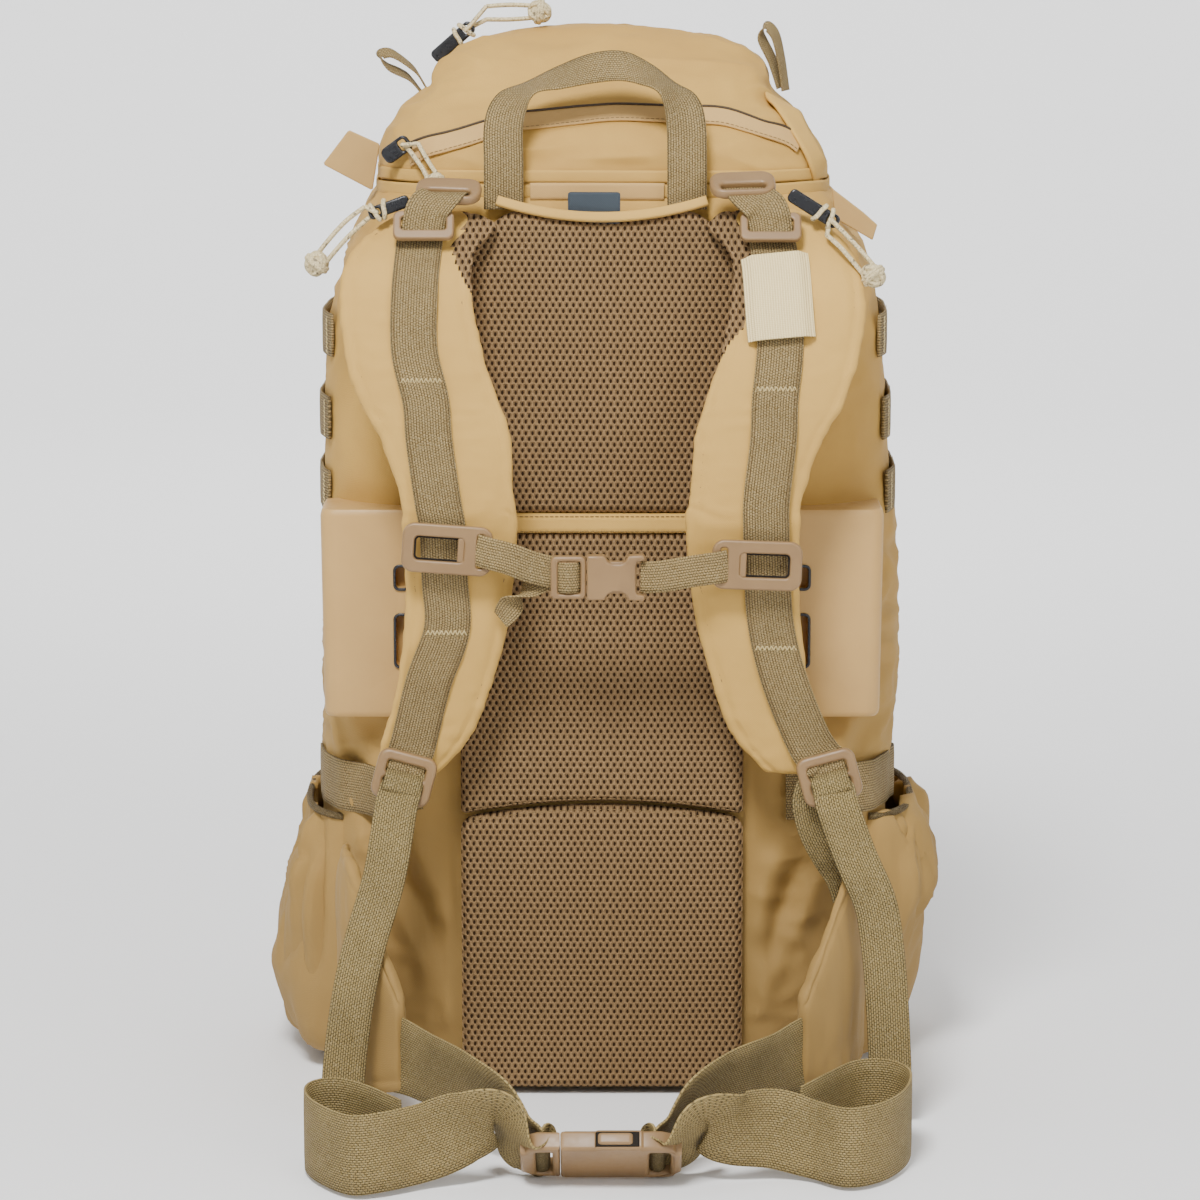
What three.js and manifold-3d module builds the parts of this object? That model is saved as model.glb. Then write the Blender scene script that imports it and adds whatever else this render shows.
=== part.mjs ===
// A top-loading hunting backpack with a hinged lid, shoulder harness, sternum strap and hip belt.
// Millimetres, +Z up. The origin is on the floor at the middle of the bag's flat base.
// The harness side faces -Y. "left" pieces lie at -X and "right" pieces at +X.
import * as THREE from 'three';
import { mergeVertices } from 'three/addons/utils/BufferGeometryUtils.js';
import Module from 'manifold-3d';

const wasm = await Module();
wasm.setup();

// Driving dimensions
const BAG = { width: 372, back: -110, front: 130, rim: 588, wall: 4, floor: 6 };
const PANEL = { halfWidth: 91, face: -135, depth: 17 };
const FRAME = { sheet: 1.6, stay: 3, stayWidth: 19, top: 560, bottom: 30, halfWidth: 108 };
const LID = { base: 591, top: 685 };
const POCKET = { inner: 189, reach: 42, floor: 4, mouth: 172, halfLength: 84, wall: 2.5 };
const WEB = { thick: 2, shoulder: 29, sternum: 20, belt: 50, strap: 27, row: 28, compression: 34 };
const PAD = { thick: 12, lift: 0.6 };
const CORD = { radius: 1.5, sides: 8 };
const SIDES = { left: -1, right: 1 };

const COLOURS = {
  fabric: { color: 0xcdaf7d, roughness: 0.85, metalness: 0 },
  mesh: { color: 0x96734f, roughness: 0.95, metalness: 0 },
  webbing: { color: 0x96825a, roughness: 0.9, metalness: 0 },
  plastic: { color: 0xbe9b78, roughness: 0.5, metalness: 0 },
  black: { color: 0x1e1e20, roughness: 0.4, metalness: 0 },
  cord: { color: 0xd7cdaf, roughness: 0.9, metalness: 0 },
  elastic: { color: 0xe1cda5, roughness: 0.95, metalness: 0 },
  laminate: { color: 0xc8aa7d, roughness: 0.7, metalness: 0 },
  slate: { color: 0x546474, roughness: 0.9, metalness: 0 },
  sheet: { color: 0x33363a, roughness: 0.5, metalness: 0 },
  aluminium: { color: 0xb8bcc0, roughness: 0.35, metalness: 1 },
};

const pack = new THREE.Group();

// Meshes and booleans

function vec(x, y, z) {
  return new THREE.Vector3(x, y, z);
}

// Merges shared corners, and turns the faces out where a mesh came out inside out.
function closed(geometry) {
  const bare = geometry.clone();
  bare.deleteAttribute('normal');
  bare.deleteAttribute('uv');
  const merged = mergeVertices(bare, 1e-4);
  const p = merged.attributes.position;
  const index = Array.from(merged.index.array);
  const [a, b, c] = [vec(), vec(), vec()];
  const kept = [];
  let volume = 0;
  for (let i = 0; i < index.length; i += 3) {
    const [i0, i1, i2] = index.slice(i, i + 3);
    if (i0 === i1 || i1 === i2 || i2 === i0) continue;
    kept.push(i0, i1, i2);
    a.fromBufferAttribute(p, i0);
    b.fromBufferAttribute(p, i1);
    c.fromBufferAttribute(p, i2);
    volume += a.dot(b.cross(c));
  }
  merged.setIndex(volume < 0 ? kept.reverse() : kept);
  return merged;
}

function solid(geometry) {
  const merged = closed(geometry);
  return new wasm.Manifold(new wasm.Mesh({
    numProp: 3,
    vertProperties: new Float32Array(merged.attributes.position.array),
    triVerts: new Uint32Array(merged.index.array),
  }));
}

function unsolid(manifold) {
  const mesh = manifold.getMesh();
  const geometry = new THREE.BufferGeometry();
  geometry.setAttribute('position', new THREE.BufferAttribute(mesh.vertProperties, 3));
  geometry.setIndex(new THREE.BufferAttribute(mesh.triVerts, 1));
  return geometry;
}

function cut(body, ...tools) {
  return unsolid(tools.reduce((left, tool) => left.subtract(solid(tool)), solid(body)));
}

function join(body, ...others) {
  return unsolid(others.reduce((left, other) => left.add(solid(other)), solid(body)));
}

function add(name, geometry, colour) {
  const mesh = new THREE.Mesh(closed(geometry), new THREE.MeshStandardMaterial(COLOURS[colour]));
  mesh.name = name;
  pack.add(mesh);
}

// A closed skin over rings that all have the same number of points, capped at both ends.
function skin(rings) {
  const count = rings[0].length;
  const points = rings.flat();
  const index = [];
  for (let r = 0; r + 1 < rings.length; r += 1) {
    for (let i = 0; i < count; i += 1) {
      const j = (i + 1) % count;
      const [a, b] = [r * count + i, r * count + j];
      index.push(a, b, b + count, a, b + count, a + count);
    }
  }
  const ends = [[rings[0], 0, true], [rings.at(-1), (rings.length - 1) * count, false]];
  for (const [ring, first, flip] of ends) {
    const middle = points.length;
    points.push(ring.reduce((sum, p) => sum.add(p), vec(0, 0, 0)).divideScalar(count));
    for (let i = 0; i < count; i += 1) {
      const [a, b] = [first + i, first + (i + 1) % count];
      index.push(...(flip ? [middle, b, a] : [middle, a, b]));
    }
  }
  const geometry = new THREE.BufferGeometry().setFromPoints(points);
  geometry.setIndex(index);
  return geometry;
}

// A level superellipse ring between back and front, drawn in by inset.
function ring({ z, half, back, front, power = 3.6 }, inset = 0, count = 36, x = 0) {
  const [a, b] = [half - inset, (front - back) / 2 - inset];
  const points = [];
  for (let i = 0; i < count; i += 1) {
    const t = (i / count) * 2 * Math.PI;
    const [c, s] = [Math.cos(t), Math.sin(t)];
    points.push(vec(
      x + a * Math.sign(c) * Math.abs(c) ** (2 / power),
      (back + front) / 2 + b * Math.sign(s) * Math.abs(s) ** (2 / power),
      z,
    ));
  }
  return points;
}

// A flat strip of webbing along a route. Each stop is [x, y, z, ax, ay, az]: a point of the
// centre line, and the direction across the strip there (along X where it is left out).
function ribbon(stops, width, thick = WEB.thick, steps = stops.length * 3) {
  const line = new THREE.CatmullRomCurve3(stops.map((s) => vec(s[0], s[1], s[2])));
  const across = new THREE.CatmullRomCurve3(stops.map((s) => vec(s[3] ?? 1, s[4] ?? 0, s[5] ?? 0)));
  const rings = [];
  for (let i = 0; i <= steps; i += 1) {
    const t = i / steps;
    const centre = line.getPoint(t);
    const along = line.getTangent(t);
    const side = across.getPoint(t);
    side.addScaledVector(along, -side.dot(along)).normalize().multiplyScalar(width / 2);
    const up = side.clone().cross(along).normalize().multiplyScalar(thick / 2);
    rings.push([[1, 1], [1, -1], [-1, -1], [-1, 1]].map(
      ([a, b]) => centre.clone().addScaledVector(side, a).addScaledVector(up, b),
    ));
  }
  return skin(rings);
}

// A plate cut from an outline in X and Z, its thickness centred on y = 0.
function plate(outline, holes, thick, bevel = 0.8) {
  const shape = new THREE.Shape(outline.map(([x, z]) => new THREE.Vector2(x, z)));
  shape.holes = holes.map((hole) => new THREE.Path(hole.map(([x, z]) => new THREE.Vector2(x, z))));
  const geometry = new THREE.ExtrudeGeometry(shape, {
    depth: thick - 2 * bevel,
    bevelEnabled: bevel > 0,
    bevelThickness: bevel,
    bevelSize: bevel,
    bevelOffset: -bevel,
    bevelSegments: 1,
  });
  return geometry.translate(0, 0, bevel - thick / 2).rotateX(Math.PI / 2);
}

// The corners of a rectangle centred at (x, z), with each corner cut or rounded by r.
function rounded(width, height, r, x = 0, z = 0, arc = 2) {
  const points = [];
  const corners = [[1, 1, 0], [-1, 1, 90], [-1, -1, 180], [1, -1, 270]];
  for (const [sx, sz, start] of corners) {
    for (let i = 0; i <= arc; i += 1) {
      const t = THREE.MathUtils.degToRad(start + (90 * i) / arc);
      points.push([
        x + sx * (width / 2 - r) + r * Math.cos(t),
        z + sz * (height / 2 - r) + r * Math.sin(t),
      ]);
    }
  }
  return points;
}

function block(x0, x1, y0, y1, z0, z1) {
  const box = new THREE.BoxGeometry(x1 - x0, y1 - y0, z1 - z0);
  return box.translate((x0 + x1) / 2, (y0 + y1) / 2, (z0 + z1) / 2);
}

// Turns a plate that faces -Y by lean about X and tilt about Y, then moves it to its place.
function place(geometry, [x, y, z], lean = 0, tilt = 0) {
  const { degToRad } = THREE.MathUtils;
  return geometry.rotateY(degToRad(tilt)).rotateX(degToRad(lean)).translate(x, y, z);
}

// Bag, lid and pockets

const BAG_RINGS = [
  { z: 0, half: 150, back: -98, front: 110 },
  { z: 14, half: 174, back: -109, front: 126 },
  { z: 60, half: 181, back: -110, front: 130 },
  { z: 240, half: 184, back: -110, front: 130 },
  { z: 400, half: 182, back: -110, front: 130 },
  { z: 490, half: 178, back: -110, front: 128 },
  { z: 545, half: 167, back: -110, front: 126 },
  { z: 575, half: 153, back: -110, front: 124 },
  { z: BAG.rim, half: 143, back: -109, front: 122 },
];

function bagBody() {
  const outer = BAG_RINGS.map((r) => ring(r));
  const inner = BAG_RINGS.slice(1).map((r) => ring({ ...r, z: Math.max(r.z, BAG.floor) }, BAG.wall));
  inner[0] = ring({ ...BAG_RINGS[1], z: BAG.floor, half: 160 }, BAG.wall);
  return skin([...outer, ...inner.reverse()]);
}

// A point on the bag's outside at height z, turned from +X towards -Y by an angle, set out by off.
function onBag(z, degrees, off, s) {
  const upper = BAG_RINGS.findIndex((r) => r.z >= z);
  const [lo, hi] = [BAG_RINGS[upper - 1], BAG_RINGS[upper]];
  const t = (z - lo.z) / (hi.z - lo.z);
  const half = lo.half + t * (hi.half - lo.half) + off;
  const depth = (BAG.front - BAG.back) / 2 + off;
  const angle = THREE.MathUtils.degToRad(degrees);
  const [c, k] = [Math.cos(angle), Math.sin(angle)];
  const e = 2 / 3.6;
  const y = (BAG.front + BAG.back) / 2 - depth * Math.sign(k) * Math.abs(k) ** e;
  return [s * half * Math.sign(c) * Math.abs(c) ** e, y, z, 0, 0, 1];
}

function wrap(z, from, to, off, width, s, steps = 8) {
  const stops = [];
  for (let i = 0; i <= steps; i += 1) stops.push(onBag(z, from + ((to - from) * i) / steps, off, s));
  return ribbon(stops, width, WEB.thick, 2 * steps);
}

const LID_RINGS = [
  { z: LID.base, half: 143, back: -109, front: 122 },
  { z: 610, half: 142, back: -106, front: 122 },
  { z: 628, half: 134, back: -92, front: 116 },
  { z: 642, half: 119, back: -74, front: 106 },
  { z: 649, half: 110, back: -62, front: 100 },
  { z: 664, half: 105, back: -46, front: 88 },
  { z: 677, half: 86, back: -26, front: 70 },
  { z: LID.top - 1, half: 50, back: -2, front: 48 },
];

function sidePocket(s) {
  const rows = [
    [POCKET.floor, 20, 62], [14, 38, 78], [50, POCKET.reach, POCKET.halfLength],
    [96, 40, POCKET.halfLength], [140, 24, 80], [POCKET.mouth, 15, 74],
  ];
  const half = (rx, ry, z, inset) => {
    const points = [];
    for (let i = 0; i <= 14; i += 1) {
      const t = -Math.PI / 2 + (Math.PI * i) / 14;
      const out = Math.max((rx - 2 * inset) * Math.cos(t), 0);
      points.push(vec(s * (POCKET.inner + inset + out), 6 + (ry - inset) * Math.sin(t), z));
    }
    return points;
  };
  const outer = rows.map(([z, rx, ry]) => half(rx, ry, z, 0));
  const inner = rows.slice(1).map(([z, rx, ry]) => half(rx, ry, z, POCKET.wall));
  return skin([...outer, ...inner.reverse()]);
}

add('bag_body', bagBody(), 'fabric');
add('lid_shell', skin(LID_RINGS.map((r) => ring(r))), 'fabric');
add('front_pocket', skin([
  { z: 60, half: 110 }, { z: 74, half: 128 }, { z: 380, half: 124 }, { z: 440, half: 100 },
].map((r, i) => ring({ ...r, back: 131, front: i % 3 ? 152 : 140, power: 5 }, 0, 28))), 'fabric');

// Frame and back panel

add('frame_sheet', plate(
  rounded(2 * FRAME.halfWidth, FRAME.top - FRAME.bottom, 30, 0, (FRAME.top + FRAME.bottom) / 2, 3),
  [], FRAME.sheet, 0,
).translate(0, BAG.back - 1.4, 0), 'sheet');

// A cushion from an outline in X and Z: its rim is drawn in at the front and back faces.
function backPad(outline) {
  const middle = outline.reduce(([a, b], [x, z]) => [a + x, b + z], [0, 0]);
  const [cx, cz] = middle.map((v) => v / outline.length);
  const rims = [[0, 4], [3, 1], [13, 0], [PANEL.depth, 3]];
  return skin(rims.map(([y, inset]) => {
    const shrink = 1 - inset / PANEL.halfWidth;
    return outline.map(([x, z]) => vec(cx + (x - cx) * shrink, PANEL.face + y, cz + (z - cz) * shrink));
  }));
}

function padOutline(z0, z1) {
  return rounded(2 * PANEL.halfWidth, z1 - z0, 9, 0, (z0 + z1) / 2, 3);
}

add('back_pad_upper', backPad([
  [54, 574], [-54, 574], [-66, 560], [-88, 546], [-91, 530], [-91, 381], [-83, 373],
  [83, 373], [91, 381], [91, 530], [88, 546], [66, 560],
]), 'mesh');
add('back_pad_middle', backPad(padOutline(186, 371)), 'mesh');
add('lumbar_pad', backPad(padOutline(5, 184)), 'mesh');

function sidePanel(s) {
  const [inner, outer, back, top, bottom, wall] = [112, 181, -72, 385, 250, 3];
  const shell = (grow) => {
    const base = [[bottom - 5 * (1 - grow), 5], [top - wall * (1 - grow), 0]];
    return skin(base.map(([z, taper]) => [
      [inner - (1 - grow) * 30, -130 + wall * (1 - grow)],
      [outer - taper - wall * (1 - grow) - 8, -130 + wall * (1 - grow)],
      [outer - taper - wall * (1 - grow), -122 + wall * (1 - grow)],
      [outer - taper - wall * (1 - grow), back + 20 * (1 - grow)],
      [inner - (1 - grow) * 30, back + 20 * (1 - grow)],
    ].map(([x, y]) => vec(s * x, y, z))));
  };
  const slots = [[128, 300, 33], [128, 341, 14]].map(([x, z, h]) => block(
    s * x - 4, s * x + 4, -140, -120, z - h / 2, z + h / 2,
  ));
  const bag = skin(BAG_RINGS.map((r) => ring(r, -1)));
  return cut(shell(1), shell(0), bag, ...slots);
}

function sideWebbing(s) {
  const rows = [490, 436, 388].map((z) => wrap(z, -62, 24, 3, WEB.row, s));
  const backing = ribbon([370, 410, 450, 480, 510].map((z) => {
    const [x, y] = onBag(z, -20, 3.8, s);
    return [x, y, z, 0, 1, 0];
  }), 24, 1.2, 8);
  return join(rows[0], rows[1], rows[2], backing);
}

for (const [side, s] of Object.entries(SIDES)) {
  add(`stay_${side}`, block(
    s * 60 - FRAME.stayWidth / 2, s * 60 + FRAME.stayWidth / 2,
    -116.2, -116.2 + FRAME.stay, FRAME.bottom + 20, FRAME.top - 20,
  ), 'aluminium');
  add(`side_panel_${side}`, sidePanel(s), 'plastic');
  add(`side_pocket_${side}`, sidePocket(s), 'fabric');
  add(`side_webbing_${side}`, sideWebbing(s), 'webbing');
  add(`compression_strap_${side}`, wrap(197, 6, 66, 2, WEB.compression, s), 'webbing');
}

// Lid fittings, handle and zips

add('label_tab', block(-22, 12, -137.4, -135.8, 569, 584), 'slate');
add('side_tab_left', plate([[-143, 613], [-163, 622], [-180, 600], [-148, 583]], [], 2, 0)
  .translate(0, -62, 0), 'laminate');
add('side_tab_right', plate([[147, 586], [168, 570], [177, 562], [174, 552], [150, 566]], [], 2, 0)
  .translate(0, -75, 0), 'laminate');
add('lash_loop_left', ribbon([
  [-116, 8, 648, 0, 1, 0], [-124, 8, 658, 0, 1, 0], [-138, 8, 668, 0, 1, 0],
  [-146, 8, 667, 0, 1, 0], [-141, 8, 660, 0, 1, 0], [-128, 8, 653, 0, 1, 0], [-119, 8, 645, 0, 1, 0],
], 12, 1.2), 'webbing');
add('lash_loop_right', ribbon([
  [118, 8, 650, 0, 1, 0], [112, 8, 664, 0, 1, 0], [105, 8, 679, 0, 1, 0], [108, 8, 686, 0, 1, 0],
  [114, 8, 680, 0, 1, 0], [118, 8, 664, 0, 1, 0], [121, 8, 652, 0, 1, 0],
], 12, 1.2), 'webbing');

const HANDLE = { x: -4, half: 58, foot: 577, depth: 25 };
const HANDLE_ARCH = [
  [0, -124.5, HANDLE.foot], [0, -123, 604], [-6, -116, 634], [-24, -110, 655], [-HANDLE.half, -107, 665],
];

// Half of the handle, from its foot to the top of the arch, where the webbing stands nearly on edge.
function handleStops(s) {
  return HANDLE_ARCH.map(([out, y, z], i) => {
    const turn = Math.max(0, (i - 1) / 3) * (Math.PI / 2);
    const [c, k] = [Math.cos(turn), Math.sin(turn)];
    return [HANDLE.x + s * (HANDLE.half + out), y, z, s * c, 0.4 * k, 0.9 * k];
  });
}
add('grab_handle', ribbon(
  [...handleStops(-1), ...handleStops(1).reverse().slice(1)], HANDLE.depth, WEB.thick, 28,
), 'webbing');

// A zip slider and its pull as one flat bar with an eye at its outer end.
function zipPull(length, height, eye) {
  return plate(rounded(length, height, 3), [rounded(5, height - 4, 1.5, eye * (length / 2 - 5), 0)], 4, 0.6);
}

// A round cord along a route, with a flat at each end.
function cord(route) {
  const line = new THREE.CatmullRomCurve3(route.map(([x, y, z]) => vec(x, y, z)));
  const count = Math.round(line.getLength() / (5 * CORD.radius));
  const { normals, binormals } = line.computeFrenetFrames(count);
  const rings = normals.map((normal, i) => Array.from({ length: CORD.sides }, (_, k) => {
    const turn = (2 * Math.PI * k) / CORD.sides;
    return line.getPointAt(i / count)
      .addScaledVector(normal, CORD.radius * Math.cos(turn))
      .addScaledVector(binormals[i], CORD.radius * Math.sin(turn));
  }));
  return skin(rings);
}

// Each pull cord runs out from its slider, turns inside its knot and comes back.
const PULLS = {
  dome: {
    bar: [34, 9, 1], at: [-98, 8, 676], tilt: -41,
    route: [
      [-76, 8, 699], [-60, 8, 700], [-44, 8, 699], [-37.5, 8, 695.5], [-44, 8, 692],
      [-60, 8, 690.5], [-76, 8, 690.5],
    ],
  },
  band: {
    bar: [20, 11, 1], at: [-131, -88, 611], tilt: -36,
    route: [
      [-117, -93, 615], [-110, -104, 604], [-103.5, -114, 595], [-102.5, -118, 589.5],
      [-107.5, -115, 589.5], [-114, -104, 600], [-122, -93.5, 610],
    ],
  },
  main_left: {
    bar: [27, 8, -1], at: [-133, -149, 578.5], tilt: -20,
    route: [
      [-148, -150, 579], [-160, -151, 570], [-172, -151, 557], [-180, -150, 546], [-181.5, -150, 540],
      [-176, -150, 540.5], [-168, -151, 550], [-158, -151, 561], [-148, -150, 570],
    ],
  },
  main_right: {
    bar: [36, 9, 1], at: [132, -153, 578], tilt: 32,
    route: [
      [145, -158, 569], [156, -165, 558], [166, -168, 547], [172, -168, 539], [171, -168, 533.5],
      [165.5, -168, 535], [158.5, -168, 543], [149, -165, 554], [140, -159, 562],
    ],
  },
};
for (const [name, { bar, at, tilt, route }] of Object.entries(PULLS)) {
  add(`zip_pull_${name}`, place(zipPull(...bar), at, 0, tilt), 'black');
  add(`pull_cord_${name}`, cord(route), 'cord');
}

// Shoulder harness

// Stops down a shoulder pad: height, front face, inner edge and outer edge.
const PAD_STOPS = [
  [577.5, -129, 78, 128], [570, -143, 66, 140], [553, -159, 80, 157], [530, -177, 81, 163],
  [494, -189, 74, 160], [463, -194, 64, 151], [438, -196, 57, 137], [401, -196, 54, 125],
  [382, -195, 52, 124], [324, -188, 58, 124], [271, -178, 72, 131], [244, -172, 84, 139],
  [220, -168, 104, 143],
];

// The pad's front line in Y and Z, with the direction out of its front face.
function padFrame(i) {
  const [a, b] = [PAD_STOPS[Math.max(i - 1, 0)], PAD_STOPS[Math.min(i + 1, PAD_STOPS.length - 1)]];
  const along = vec(0, b[1] - a[1], b[0] - a[0]).normalize();
  return vec(0, along.z, -along.y);
}

function shoulderPad(s) {
  return skin(PAD_STOPS.map(([z, y, inner, outer], i) => {
    const out = padFrame(i);
    const flat = [[0, 5], [5, 0], [7, 0], [PAD.thick, 5]];
    const edge = [...flat.map(([d, r]) => [inner + r, d]), ...flat.reverse().map(([d, r]) => [outer - r, d])];
    return edge.map(([x, d]) => vec(s * x, y, z).addScaledVector(out, -d));
  }));
}

// Stops down the middle of the shoulder webbing: height and distance from the centre line.
const WEB_LINE = {
  left: [[566, 113], [530, 116], [494, 116], [463, 109], [438, 107], [401, 102], [382, 99],
    [350, 98], [318, 97], [283, 109], [243, 119]],
  right: [[566, 105], [530, 110], [494, 110], [463, 107], [438, 106], [401, 102], [382, 102],
    [350, 103], [318, 106], [283, 115], [243, 131]],
};

function frontAt(z) {
  const i = PAD_STOPS.findIndex((stop) => stop[0] <= z);
  const [hi, lo] = [PAD_STOPS[i - 1], PAD_STOPS[i]];
  return hi[1] + ((lo[1] - hi[1]) * (hi[0] - z)) / (hi[0] - lo[0]);
}

const LOCKS = { left: { x: 125, tilt: -17 }, right: { x: 143.5, tilt: 17 } };
const LOCK_AT = { y: -180, z: 221.5, lean: -8 };

function ladderlock() {
  const slots = [8, 0.5, -7.5].map((z, i) => rounded(26, [4, 5, 4][i], 1, 0, z, 1));
  return plate(rounded(33, 26, 4), slots, 5);
}

const ADJUSTERS = {
  left: [
    [-130, -190, 205], [-137, -198, 162], [-148, -211, 125], [-155, -220, 95], [-160, -223, 62],
    [-166, -222, 32], [-173, -208, 13], [-178, -180, 8], [-183, -150, 8], [-184, -118, 14],
  ],
  right: [
    [148, -190, 205], [160, -195, 173], [172, -200, 145], [177, -203, 115], [180, -206, 80],
    [182, -206, 44], [183, -202, 22], [184, -186, 10], [184, -150, 8], [184, -118, 14],
  ],
};

for (const [side, s] of Object.entries(SIDES)) {
  add(`shoulder_pad_${side}`, shoulderPad(s), 'fabric');
  add(`shoulder_webbing_${side}`, ribbon(
    WEB_LINE[side].map(([z, x]) => [s * x, frontAt(z) - PAD.lift - 1.5, z]),
    WEB.shoulder, WEB.thick, 20,
  ), 'webbing');
  const top = side === 'left' ? [-111, -161, 568] : [105, -161, 567];
  add(`shoulder_triglide_${side}`, place(
    plate(rounded(38, 18, 3), [rounded(28, 9, 1.5)], 4), top, -35, 0,
  ), 'plastic');
  const lifter = side === 'left' ? [-96, -141, 588] : [88, -141, 592];
  add(`load_lifter_buckle_${side}`, place(
    plate(rounded(40, 22, 4), [rounded(28, 10, 1.5)], 4), lifter, -62, s * -4,
  ), 'plastic');
  add(`load_lifter_strap_${side}`, ribbon([
    [lifter[0], -160, lifter[2] - 7], [(lifter[0] + top[0]) / 2, -163, 582], [top[0], -170, 575],
  ], WEB.strap, 1.4, 6), 'webbing');
  const lock = LOCKS[side];
  add(`ladderlock_${side}`, place(
    ladderlock(), [s * lock.x, LOCK_AT.y, LOCK_AT.z], LOCK_AT.lean, lock.tilt,
  ), 'plastic');
  add(`adjuster_strap_${side}`, ribbon(
    ADJUSTERS[side], WEB.strap, WEB.thick, 22,
  ), 'webbing');
}
add('elastic_keeper', place(plate(rounded(40, 52, 3), [], 2, 0.4), [109, -189, 526], -30, 0), 'elastic');

// Sternum strap

const STERNUM = { y: -204, left: 371, right: 361, buckle: 354 };

function sternumSlider(s) {
  const openings = [rounded(31, 15, 2, s * 5, 0), rounded(4, 21, 1, s * -20.5, 0, 1)];
  return plate(rounded(56, 31, 6), openings, 4.5);
}

// A side-release socket open at one end, with a window in each edge, and its two-armed plug.
function socket(length, height, thick, mouth) {
  const body = plate(rounded(length, height, 4), [], thick, 1);
  const inside = thick / 2 - 1.6;
  const cavity = block(-length, length / 2 - 12, -inside, inside, 3 - height / 2, height / 2 - 3);
  const windows = block(-length / 2 + 8, length / 2 - 16, -inside, inside, -height, height);
  const slot = block(length / 2 - 8, length / 2 - 4, -thick, thick, -mouth / 2, mouth / 2);
  return cut(body, cavity, windows, slot);
}

function plug(length, height, thick, slot, reach) {
  const frame = plate(rounded(length, height, 3), [
    rounded(4, slot, 1, -length / 2 + 6, 0, 1), rounded(4, slot, 1, -length / 2 + 14, 0, 1),
  ], thick, 0.8);
  const arm = (side) => block(
    length / 2 - 2, length / 2 + reach, -thick / 2 + 2, thick / 2 - 2,
    side * (height / 2 - 5.7) - 2, side * (height / 2 - 5.7) + 2,
  );
  const guide = block(length / 2 - 2, length / 2 + reach - 4, -thick / 2 + 2, thick / 2 - 2, -2, 2);
  return join(frame, arm(1), arm(-1), guide);
}

for (const [side, s] of Object.entries(SIDES)) {
  const x = side === 'left' ? -96 : 96;
  add(`sternum_slider_${side}`, place(
    sternumSlider(s), [x, STERNUM.y, STERNUM[side]], 0, side === 'left' ? 4 : 2,
  ), 'plastic');
}
add('sternum_socket', place(socket(36, 29, 9, 20), [8.5, STERNUM.y - 3, STERNUM.buckle], 0, 0), 'plastic');
add('sternum_plug', place(plug(22, 27, 8, 20, 16), [-20.9, STERNUM.y - 3, STERNUM.buckle], 0, 0), 'plastic');
add('sternum_strap_left', ribbon([
  [-70, STERNUM.y - 4, 369], [-58, STERNUM.y - 5, 366], [-45, STERNUM.y - 4, 361], [-34.5, STERNUM.y - 3, 358],
].map((p) => [...p, 0, 0, 1]), WEB.sternum, WEB.thick, 9), 'webbing');
add('sternum_strap_right', ribbon([
  [29, STERNUM.y - 3, 354], [38, STERNUM.y - 5, 355], [56, STERNUM.y - 5, 358], [71, STERNUM.y - 4, 360],
].map((p) => [...p, 0, 0, 1]), WEB.sternum, WEB.thick, 9), 'webbing');

// Hip belt

// Stops along a wing: distance out, Y, and the lower and upper edges.
const WING_STOPS = [
  [171, -119, 30, 166], [170, -150, 24, 170], [161, -184, 22, 162], [147, -204, 23, 134],
  [128, -217, 27, 88],
];
const WING_THICK = 10;

function hipWing(s) {
  return skin(WING_STOPS.map(([x, y, low, high], i) => {
    const [a, b] = [WING_STOPS[Math.max(i - 1, 0)], WING_STOPS[Math.min(i + 1, WING_STOPS.length - 1)]];
    const inward = vec(b[1] - a[1], a[0] - b[0], 0).normalize();
    const edge = [
      [0, low + 4], [3, low], [7, low], [WING_THICK, low + 4],
      [WING_THICK, high - 4], [7, high], [3, high], [0, high - 4],
    ];
    return edge.map(([d, z]) => {
      const p = vec(x, y, z).addScaledVector(inward, d);
      return vec(s * p.x, p.y, p.z);
    });
  }));
}

const BUCKLE = { lean: 50, y: -326, z: 20 };
const LEANT = [0, -0.77, 0.64];
const UP = [0, 0, 1];

// Belt webbing: in from the wing's tip to the buckle, round its bar, and back out as the loose tail.
const BELT_LEFT = [
  [-137, -221, 50, 0.1, 0, 1], [-124, -231, 48, 0.1, -0.1, 1], [-104, -250, 44, 0, -0.2, 1],
  [-80, -277, 38, 0, -0.4, 0.9], [-67, -302, 31, 0, -0.6, 0.8], [-67, -321, 27, ...LEANT],
  [-61, -324, 23.4, ...LEANT], [-67, -327, 20.5, ...LEANT], [-74, -331, 25, 0, -0.65, 0.75],
  [-83, -328, 28, 0, -0.2, 1], [-106, -334, 27.5, ...UP], [-133, -350, 27.5, ...UP],
  [-152, -351, 27.5, ...UP], [-172, -326, 27.5, ...UP], [-181, -300, 27.5, ...UP],
  [-178, -281, 28, ...UP], [-164, -274, 28, ...UP], [-147, -285, 27.5, ...UP],
  [-130, -308, 27.5, ...UP], [-122, -320, 27.5, ...UP],
];
const BELT_RIGHT = [
  [137, -221, 50, -0.1, 0, 1], [124, -231, 49, -0.1, -0.1, 1], [104, -250, 45, 0, -0.2, 1],
  [78, -277, 38, 0, -0.4, 0.9], [65, -302, 31, 0, -0.6, 0.8], [63, -321, 27, ...LEANT],
  [58, -324, 23.4, ...LEANT], [63, -327, 20.5, ...LEANT], [71, -331, 25, 0, -0.65, 0.75],
  [83, -322, 29, 0, -0.2, 1], [104, -314, 30, ...UP], [126, -320, 28, ...UP],
  [148, -337, 27.5, ...UP], [170, -324, 27.5, ...UP], [186, -294, 28, ...UP],
  [190, -262, 30, ...UP], [178, -244, 31, ...UP], [158, -246, 31, ...UP],
  [138, -272, 30, ...UP], [122, -296, 29, ...UP],
];

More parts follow.
